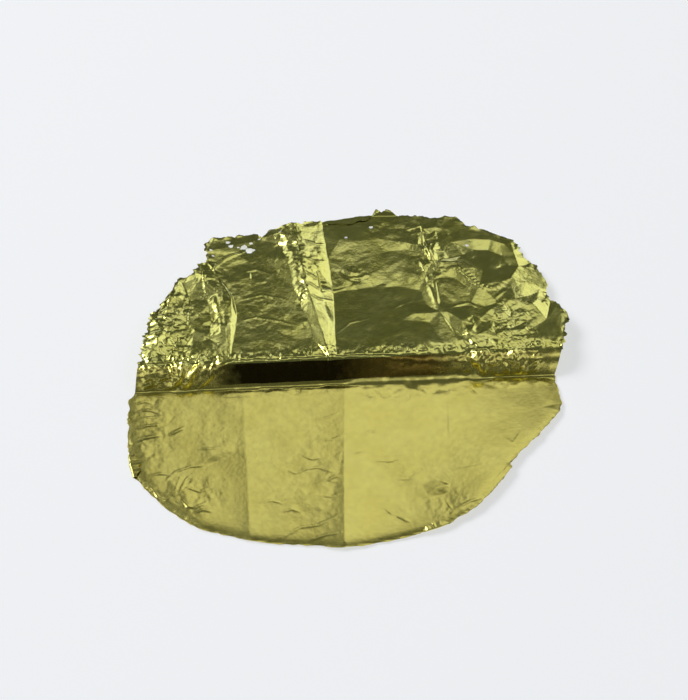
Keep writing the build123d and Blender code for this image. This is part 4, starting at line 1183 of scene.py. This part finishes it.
def foil_crinkle_group():
    """Height of the finest crinkles, too small for the mesh: sharp cells over soft waves."""
    group, entry, leave = new_group(
        "Foil Crinkle",
        [("Cells", "NodeSocketFloat", 1500.0), ("Waves", "NodeSocketFloat", 350.0),
         ("Cell Share", "NodeSocketFloat", 0.5)],
        [("Height", "NodeSocketFloat")])
    spot = group.nodes.new("ShaderNodeTexCoord").outputs["Object"]
    cells = cell_texture(group, spot, entry.outputs["Cells"])
    waves = noise(group, spot, entry.outputs["Waves"], CRINKLE_DETAIL)
    sharp = math_node(group, "MULTIPLY", cells.outputs["Distance"], entry.outputs["Cell Share"])
    group.links.new(math_node(group, "ADD", sharp, waves), leave.inputs["Height"])
    return group


def foil_specks_group():
    """A mask of sparse dark specks."""
    group, entry, leave = new_group(
        "Foil Specks",
        [("Density", "NodeSocketFloat", 120.0), ("Size", "NodeSocketFloat", 0.03),
         ("Chance", "NodeSocketFloat", 0.9)],
        [("Mask", "NodeSocketFloat")])
    spot = group.nodes.new("ShaderNodeTexCoord").outputs["Object"]
    cells = cell_texture(group, spot, entry.outputs["Density"])
    small = math_node(group, "LESS_THAN", cells.outputs["Distance"], entry.outputs["Size"])
    parts = group.nodes.new("ShaderNodeSeparateColor")
    group.links.new(cells.outputs["Color"], parts.inputs["Color"])
    rare = math_node(group, "GREATER_THAN", parts.outputs[0], entry.outputs["Chance"])
    group.links.new(math_node(group, "MULTIPLY", small, rare), leave.inputs["Mask"])
    return group


def placed_group(tree, maker, name, values):
    """One use of a shared node group in a material, with its own values."""
    node = tree.nodes.new("ShaderNodeGroup")
    node.node_tree = bpy.data.node_groups.get(name) or maker()
    for label, value in values.items():
        node.inputs[label].default_value = value
    return node


def with_alpha(colour):
    """A colour with the fourth value that a node's socket takes."""
    return (*colour, 1.0)


def foil_material(name, colour, pale, roughness, cloud_scale, crinkle_depth, cells, waves, specks):
    """Thin metal foil: clouds of colour and polish, fine crinkles and a few specks."""
    colours = bpy.context.scene.foil_colours
    material = bpy.data.materials.new(name)
    material.use_nodes = True
    tree = material.node_tree
    shader = tree.nodes["Principled BSDF"]
    shader.inputs["Metallic"].default_value = 1.0
    clouds = placed_group(tree, foil_clouds_group, "Foil Clouds", {
        "Colour": with_alpha(colour), "Pale Colour": with_alpha(pale), "Scale": cloud_scale,
        "Low Roughness": roughness * LOW_ROUGHNESS_SHARE, "High Roughness": roughness * HIGH_ROUGHNESS_SHARE})
    speck = placed_group(tree, foil_specks_group, "Foil Specks", {"Chance": 1 - specks})
    dotted = blend_colour(tree, speck.outputs["Mask"], clouds.outputs["Colour"], with_alpha(colours.speck))
    tree.links.new(dotted, shader.inputs["Base Color"])
    tree.links.new(clouds.outputs["Roughness"], shader.inputs["Roughness"])
    crinkle = placed_group(tree, foil_crinkle_group, "Foil Crinkle", {"Cells": cells, "Waves": waves})
    bump = tree.nodes.new("ShaderNodeBump")
    bump.inputs["Strength"].default_value = 1.0
    bump.inputs["Distance"].default_value = crinkle_depth
    tree.links.new(crinkle.outputs["Height"], bump.inputs["Height"])
    tree.links.new(bump.outputs["Normal"], shader.inputs["Normal"])
    return material


def near_foil():
    """The bright, smooth foil of the near leaf."""
    colours = bpy.context.scene.foil_colours
    return bpy.data.materials.get("Bright Foil") or foil_material(
        "Bright Foil", colours.leaf, colours.leaf_pale, colours.near_roughness, cloud_scale=160,
        crinkle_depth=0.012 * MM, cells=1400, waves=420, specks=0.05)


def far_foil():
    """The crumpled foil of the far leaf and its turned strip."""
    colours = bpy.context.scene.foil_colours
    return bpy.data.materials.get("Crumpled Foil") or foil_material(
        "Crumpled Foil", colours.far_leaf, colours.far_leaf_pale, colours.far_roughness, cloud_scale=200,
        crinkle_depth=0.02 * MM, cells=1800, waves=500, specks=0.02)


def riser_foil_with_painted_shade():
    """The foil inside the fold, with shade painted over its middle, dark and then brownish to the right."""
    found = bpy.data.materials.get("Fold Foil With Painted Shade")
    if found:
        return found
    colours = bpy.context.scene.foil_colours
    material = foil_material("Fold Foil With Painted Shade", colours.leaf, colours.leaf_pale, colours.riser_roughness,
                             cloud_scale=200, crinkle_depth=0.02 * MM, cells=1500, waves=500, specks=0.02)
    tree = material.node_tree
    shader = tree.nodes["Principled BSDF"]
    plain = shader.inputs["Base Color"].links[0].from_socket
    parts = tree.nodes.new("ShaderNodeSeparateXYZ")
    spot = tree.nodes.new("ShaderNodeTexCoord").outputs["Object"]
    tree.links.new(spot, parts.inputs[0])
    shift = math_node(tree, "SUBTRACT", noise(tree, spot, FOLD_FRAY_SCALE, FOLD_FRAY_DETAIL), 0.5)
    place = math_node(tree, "ADD", parts.outputs["X"], math_node(tree, "MULTIPLY", shift, FOLD_FRAY))
    # Painted shade: across the middle of the riser the colour turns to a dark shade, brownish right of the
    # middle, in place of the shade that falls inside the fold
    left = ranged(tree, place, *FOLD_PAINTED_SHADE_LEFT, 0.0, 1.0)
    right = ranged(tree, place, *FOLD_PAINTED_SHADE_RIGHT, 1.0, 0.0)
    brown = ranged(tree, place, *FOLD_BROWN_SHADE_RANGE, 0.0, 1.0)
    shade = blend_colour(tree, brown, with_alpha(colours.fold_shade), with_alpha(colours.fold_brown_shade))
    shaded = blend_colour(tree, math_node(tree, "MULTIPLY", left, right), plain, shade)
    tree.links.new(shaded, shader.inputs["Base Color"])
    return material


# Operators

class FOIL_OT_near_leaf(bpy.types.Operator):
    """Make the flat near leaf: four panels, the rolled left edge and the turned hem in front"""
    bl_idname = "foil.near_leaf"
    bl_label = "Near Leaf"

    def execute(self, context):
        sheet, sizes = the_sheet(), context.scene.foil_sizes
        line, tear = sheet.near_line, sizes.tear
        front_tear, rolled_tear = tear * 0.7, tear / 3
        material = near_foil()
        quarter_left = chain(sheet.round_spine(1), spread(line(NEAR_LEFT_QUARTER_SHARES), NEAR_ROWS))
        centre = chain(sheet.round_spine(2), spread(line(NEAR_CENTRE_SHARES), NEAR_ROWS))
        quarter_right = chain(sheet.round_spine(3), spread(line(NEAR_RIGHT_QUARTER_SHARES), NEAR_ROWS))
        edge_rows = NEAR_ROWS - CURL_ROWS - CORNER_ROWS
        curl = ragged(line(EDGE_CURL_SHARES), CURL_ROWS, rolled_tear, seed=1)
        left = chain(sheet.round_spine(0), ragged(line(NEAR_LEFT_EDGE_SHARES), edge_rows, tear, seed=2), curl,
                     ragged(line(NEAR_LEFT_CORNER_SHARES), CORNER_ROWS, tear, seed=3))
        right_edge = ragged(line(NEAR_RIGHT_EDGE_SHARES), NEAR_ROWS, front_tear, seed=4)
        right = chain(sheet.round_spine(4), right_edge[::-1])
        hem = ragged(line(FRONT_HEM_SHARES), HEM_COLUMNS, rolled_tear, seed=5)
        beside_hem = ragged(line(NEAR_RIGHT_MIDDLE_SHARES), INNER_COLUMNS - HEM_COLUMNS, front_tear, seed=8)
        front = [ragged(line(NEAR_LEFT_FRONT_SHARES), OUTER_COLUMNS, front_tear, seed=6),
                 ragged(line(NEAR_LEFT_MIDDLE_SHARES), INNER_COLUMNS, front_tear, seed=7),
                 chain(beside_hem, hem),
                 ragged(line(NEAR_RIGHT_FRONT_SHARES), OUTER_COLUMNS, front_tear, seed=9)]
        downs = [left, quarter_left, centre, quarter_right, right]
        names = ["near_left_outer_panel", "near_left_inner_panel", "near_right_inner_panel",
                 "near_right_outer_panel"]
        for index, name in enumerate(names):
            west, east = downs[index], downs[index + 1]
            columns = len(front[index]) - 1
            grid = stretched(spread([west[0], east[0]], columns), front[index], west, east)
            foil_panel(name, grid[::-1], material, ["near_leaf", "spine_riser"])
        curled_strip("near_left_curled_edge", curl, sizes.curl_radius, sizes.curl_flat, material, "near_leaf")
        curled_strip("near_front_turned_hem", hem, sizes.front_hem_radius, sizes.front_hem_flat, material,
                     "near_leaf")
        return {"FINISHED"}


class FOIL_OT_riser(bpy.types.Operator):
    """Make the riser, which stands between the spine and the ridge"""
    bl_idname = "foil.riser"
    bl_label = "Riser"

    def execute(self, context):
        sheet, lap = the_sheet(), context.scene.foil_sizes.lap
        names = ["riser_left_outer_panel", "riser_left_inner_panel", "riser_right_inner_panel",
                 "riser_right_outer_panel"]
        columns = [OUTER_COLUMNS, INNER_COLUMNS, INNER_COLUMNS, OUTER_COLUMNS]
        for index, name in enumerate(names):
            edges = []
            for foot, head in RISER_CUT_SHARES[index:index + 2]:
                edges.append(spread([sheet.riser_spot(foot, head, lap),
                                     sheet.riser_spot(foot, head, RISER_LENGTH - lap)], RISER_ROWS))
            west, east = edges
            grid = stretched(spread([west[0], east[0]], columns[index]),
                             spread([west[-1], east[-1]], columns[index]), west, east)
            foil_panel(name, grid, riser_foil_with_painted_shade(), ["spine_riser"])
        return {"FINISHED"}


class FOIL_OT_far_leaf(bpy.types.Operator):
    """Make the crumpled far leaf: eight panels, the folded hem and the torn tab at the back"""
    bl_idname = "foil.far_leaf"
    bl_label = "Far Leaf"

    def execute(self, context):
        sheet, sizes = the_sheet(), context.scene.foil_sizes
        line, tear, lap = sheet.far_line, sizes.far_tear, sizes.lap
        folded_tear = tear / 4
        material = far_foil()

        def from_riser(shares, count, torn_seed=None):
            """An edge that starts one lap down the riser and goes back from the ridge."""
            edge = line(shares)
            top = edge[0]
            foot = np.array((top[0], top[1] - lap))
            rest = ragged(edge, count, tear, torn_seed) if torn_seed else spread(edge, count)
            return chain(spread([foot, top], LAP_ROWS), rest)

        rows = FRONT_ROWS + BACK_ROWS
        left_edge = from_riser(FAR_LEFT_EDGE_SHARES, rows, torn_seed=12)
        streak = from_riser(LEFT_STREAK_SHARES, rows)
        gore_left = from_riser(GORE_LEFT_SHARES, rows)
        centre_front = from_riser(FAR_CENTRE_FRONT_SHARES, FRONT_ROWS)
        centre_back = spread(line(FAR_CENTRE_BACK_SHARES), BACK_ROWS)
        star_front = from_riser(STAR_FRONT_SHARES, FRONT_ROWS)
        star_back = spread(line(STAR_BACK_SHARES), BACK_ROWS)
        lens = spread(line(LENS_SHARES), RIGHT_COLUMNS)
        wavy = spread(line(WAVY_SHARES), OUTER_COLUMNS)
        end_crease = from_riser(RIGHT_END_CREASE_SHARES, END_ROWS)
        end_edge = from_riser(RIGHT_END_EDGE_SHARES, END_ROWS, torn_seed=21)
        flap_crease = spread(line(FLAP_CREASE_SHARES), STRIP_COLUMNS)
        hem = ragged(line(BACK_HEM_SHARES), STRIP_COLUMNS, folded_tear, seed=11)
        tab_root = spread(line(BACK_TAB_ROOT_SHARES), HEM_COLUMNS)
        beside = ragged(line(BESIDE_FLAP_SHARES), STRIP_ROWS, tear, seed=14)
        behind = ragged(line(BEHIND_FLAP_SHARES), INNER_COLUMNS - STRIP_ROWS - STRIP_COLUMNS, tear, seed=15)
        back_rest = ragged(line(FAR_BACK_SHARES), RIGHT_COLUMNS - STRIP_COLUMNS - HEM_COLUMNS, tear, seed=17)
        bodies = ["spine_riser", "far_leaf"]

        def ridge_run(west, east, count):
            """The edge of a panel that lies one lap down the riser."""
            return spread([west[0], east[0]], count)

        def panel(name, front, back, west, east):
            """One panel between four edges, bent over the ridge."""
            foil_panel(name, stretched(front, back, west, east), material, bodies)

        panel("far_left_end_panel", ridge_run(left_edge, streak, OUTER_COLUMNS),
              ragged(line(FAR_LEFT_CORNER_SHARES), OUTER_COLUMNS, tear, seed=13), left_edge, streak)
        panel("far_left_panel", ridge_run(streak, gore_left, INNER_COLUMNS),
              chain(beside, flap_crease, behind), streak, gore_left)
        panel("far_centre_gore", ridge_run(gore_left, centre_front, GORE_COLUMNS),
              ragged(line(GORE_BACK_SHARES), GORE_COLUMNS, tear, seed=16), gore_left,
              chain(centre_front, centre_back))
        panel("far_right_front_panel", ridge_run(centre_front, star_front, RIGHT_COLUMNS), lens, centre_front,
              star_front)
        panel("far_right_lens_panel", lens, chain(hem, tab_root, back_rest), centre_back, star_back)
        right_edge = ragged(line(FAR_RIGHT_EDGE_SHARES), FRONT_ROWS - END_ROWS, tear, seed=20)
        panel("far_right_wavy_panel", ridge_run(star_front, end_crease, OUTER_COLUMNS), wavy, star_front,
              chain(end_crease, right_edge))
        panel("far_right_bowl_panel", wavy, ragged(line(BOWL_BACK_SHARES), OUTER_COLUMNS, tear, seed=18),
              star_back, ragged(line(BOWL_RIGHT_SHARES), BACK_ROWS, tear, seed=19))
        panel("far_right_end_panel", ridge_run(end_crease, end_edge, END_COLUMNS),
              ragged(line(RIGHT_END_BACK_SHARES), END_COLUMNS, tear, seed=22), end_crease, end_edge)
        curled_strip("far_back_folded_hem", hem, sizes.back_hem_radius, sizes.back_hem_flat, material,
                     "far_leaf", outward_sign=-1)
        tab = stretched(tab_root, ragged(line(BACK_TAB_TIP_SHARES), HEM_COLUMNS, tear, seed=23),
                        spread(line(BACK_TAB_LEFT_SHARES), STRIP_ROWS),
                        spread(line(BACK_TAB_RIGHT_SHARES), STRIP_ROWS))
        foil_panel("far_back_torn_tab", tab, material, ["far_leaf"])
        return {"FINISHED"}


class FOIL_OT_turned_flap(bpy.types.Operator):
    """Make the small strip behind the row of pinholes, which starts at its crease"""
    bl_idname = "foil.turned_flap"
    bl_label = "Turned Flap"

    def execute(self, context):
        sheet, tear = the_sheet(), context.scene.foil_sizes.far_tear
        line = sheet.far_line
        crease = spread(line(FLAP_CREASE_SHARES), STRIP_COLUMNS)
        rows, end_tear = STRIP_ROWS * 2, tear / 2
        grid = stretched(crease, ragged(line(FLAP_BACK_SHARES), STRIP_COLUMNS, tear, seed=24),
                         ragged(line(FLAP_LEFT_SHARES), rows, end_tear, seed=25),
                         ragged(line(FLAP_RIGHT_SHARES), rows, end_tear, seed=26))
        ends, _ = sheet.at(crease[None])
        foil_panel("back_left_turned_flap", grid, far_foil(), ["far_leaf", "turned_flap"])
        return {"FINISHED"}


def softbox(name, azimuth, elevation, wide, high, brightness, colour):
    """A rectangular lamp, by its direction from the sheet and the angles that it spans, in degrees."""
    distance = bpy.context.scene.foil_studio.lamp_distance
    turn, rise = math.radians(azimuth), math.radians(elevation)
    toward = Vector((math.sin(turn) * math.cos(rise), math.cos(turn) * math.cos(rise), math.sin(rise)))
    lamp = bpy.data.lights.new(name, "AREA")
    lamp.shape = "RECTANGLE"
    lamp.size = 2 * distance * math.tan(math.radians(wide / 2))
    lamp.size_y = 2 * distance * math.tan(math.radians(high / 2))
    lamp.energy = brightness * math.pi * lamp.size * lamp.size_y
    lamp.color = colour
    holder = bpy.data.objects.new(name, lamp)
    holder.location = toward * distance
    holder.rotation_mode = "QUATERNION"
    holder.rotation_quaternion = toward.to_track_quat("Z", "Y")
    bpy.context.scene.collection.objects.link(holder)


class FOIL_OT_studio(bpy.types.Operator):
    """Make the floor, the softboxes and the camera"""
    bl_idname = "foil.studio"
    bl_label = "Studio"

    def execute(self, context):
        studio = context.scene.foil_studio
        half = studio.floor_size / 2
        mesh = bpy.data.meshes.new("table_top")
        corners = [(-half, -half, 0), (half, -half, 0), (half, half, 0), (-half, half, 0)]
        mesh.from_pydata(corners, [], [(0, 1, 2, 3)])
        floor = bpy.data.objects.new("table_top", mesh)
        context.scene.collection.objects.link(floor)
        material = bpy.data.materials.new("Pale Table")
        material.use_nodes = True
        tree = material.node_tree
        shader = tree.nodes["Principled BSDF"]
        shader.inputs["Base Color"].default_value = with_alpha(studio.floor_colour)
        shader.inputs["Roughness"].default_value = TABLE_ROUGHNESS
        shader.inputs["Specular IOR Level"].default_value = TABLE_SPECULAR
        glow = tree.nodes.new("ShaderNodeEmission")
        glow.inputs["Color"].default_value = with_alpha(studio.floor_glow)
        path = tree.nodes.new("ShaderNodeLightPath")
        seen = path.outputs["Is Camera Ray"]
        for ray in ("Is Glossy Ray", "Is Transmission Ray"):
            seen = math_node(tree, "MAXIMUM", seen, path.outputs[ray])
        mix = tree.nodes.new("ShaderNodeMixShader")
        tree.links.new(math_node(tree, "MULTIPLY", seen, FLOOR_GLOW_SHARE), mix.inputs[0])
        tree.links.new(shader.outputs[0], mix.inputs[1])
        tree.links.new(glow.outputs[0], mix.inputs[2])
        tree.links.new(mix.outputs[0], tree.nodes["Material Output"].inputs["Surface"])
        mesh.materials.append(material)
        for name, settings in LAMPS.items():
            softbox(name, *settings)
        world = bpy.data.worlds.new("Studio Air")
        world.use_nodes = True
        air = world.node_tree.nodes["Background"]
        air.inputs["Color"].default_value = with_alpha(studio.ambient)
        air.inputs["Strength"].default_value = 1.0
        context.scene.world = world
        back, right, up, eye = camera_axes(studio)
        lens = bpy.data.cameras.new("photo_camera")
        lens.lens = studio.camera_lens
        lens.sensor_width = CAMERA_SENSOR
        lens.clip_start = CLIP_START
        camera = bpy.data.objects.new("photo_camera", lens)
        camera.matrix_world = Matrix([(right[i], up[i], back[i], eye[i]) for i in range(3)] + [(0, 0, 0, 1)])
        context.scene.collection.objects.link(camera)
        context.scene.camera = camera
        context.scene.view_settings.view_transform = "Standard"
        return {"FINISHED"}


class VIEW3D_PT_foil_sheet(bpy.types.Panel):
    """Sizes, colours and steps of the foil sheet"""
    bl_label = "Foil Sheet"
    bl_space_type = "VIEW_3D"
    bl_region_type = "UI"
    bl_category = "Foil"

    def draw(self, context):
        layout = self.layout
        for group in ("foil_sizes", "foil_colours", "foil_studio"):
            box = layout.box()
            values = getattr(context.scene, group)
            for name in value_names(values):
                box.prop(values, name)
        for operator in STEPS:
            layout.operator(operator.bl_idname)


STEPS = [FOIL_OT_near_leaf, FOIL_OT_riser, FOIL_OT_far_leaf, FOIL_OT_turned_flap, FOIL_OT_studio]
CLASSES = [SheetSizes, FoilColours, StudioSizes, *STEPS, VIEW3D_PT_foil_sheet]


def register():
    for kind in CLASSES:
        bpy.utils.register_class(kind)
    bpy.types.Scene.foil_sizes = PointerProperty(type=SheetSizes)
    bpy.types.Scene.foil_colours = PointerProperty(type=FoilColours)
    bpy.types.Scene.foil_studio = PointerProperty(type=StudioSizes)


def unregister():
    for name in ("foil_sizes", "foil_colours", "foil_studio"):
        delattr(bpy.types.Scene, name)
    for kind in reversed(CLASSES):
        bpy.utils.unregister_class(kind)


def main():
    register()
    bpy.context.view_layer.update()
    bpy.ops.foil.near_leaf()
    bpy.ops.foil.riser()
    bpy.ops.foil.far_leaf()
    bpy.ops.foil.turned_flap()
    bpy.ops.foil.studio()


if __name__ == "__main__":
    main()
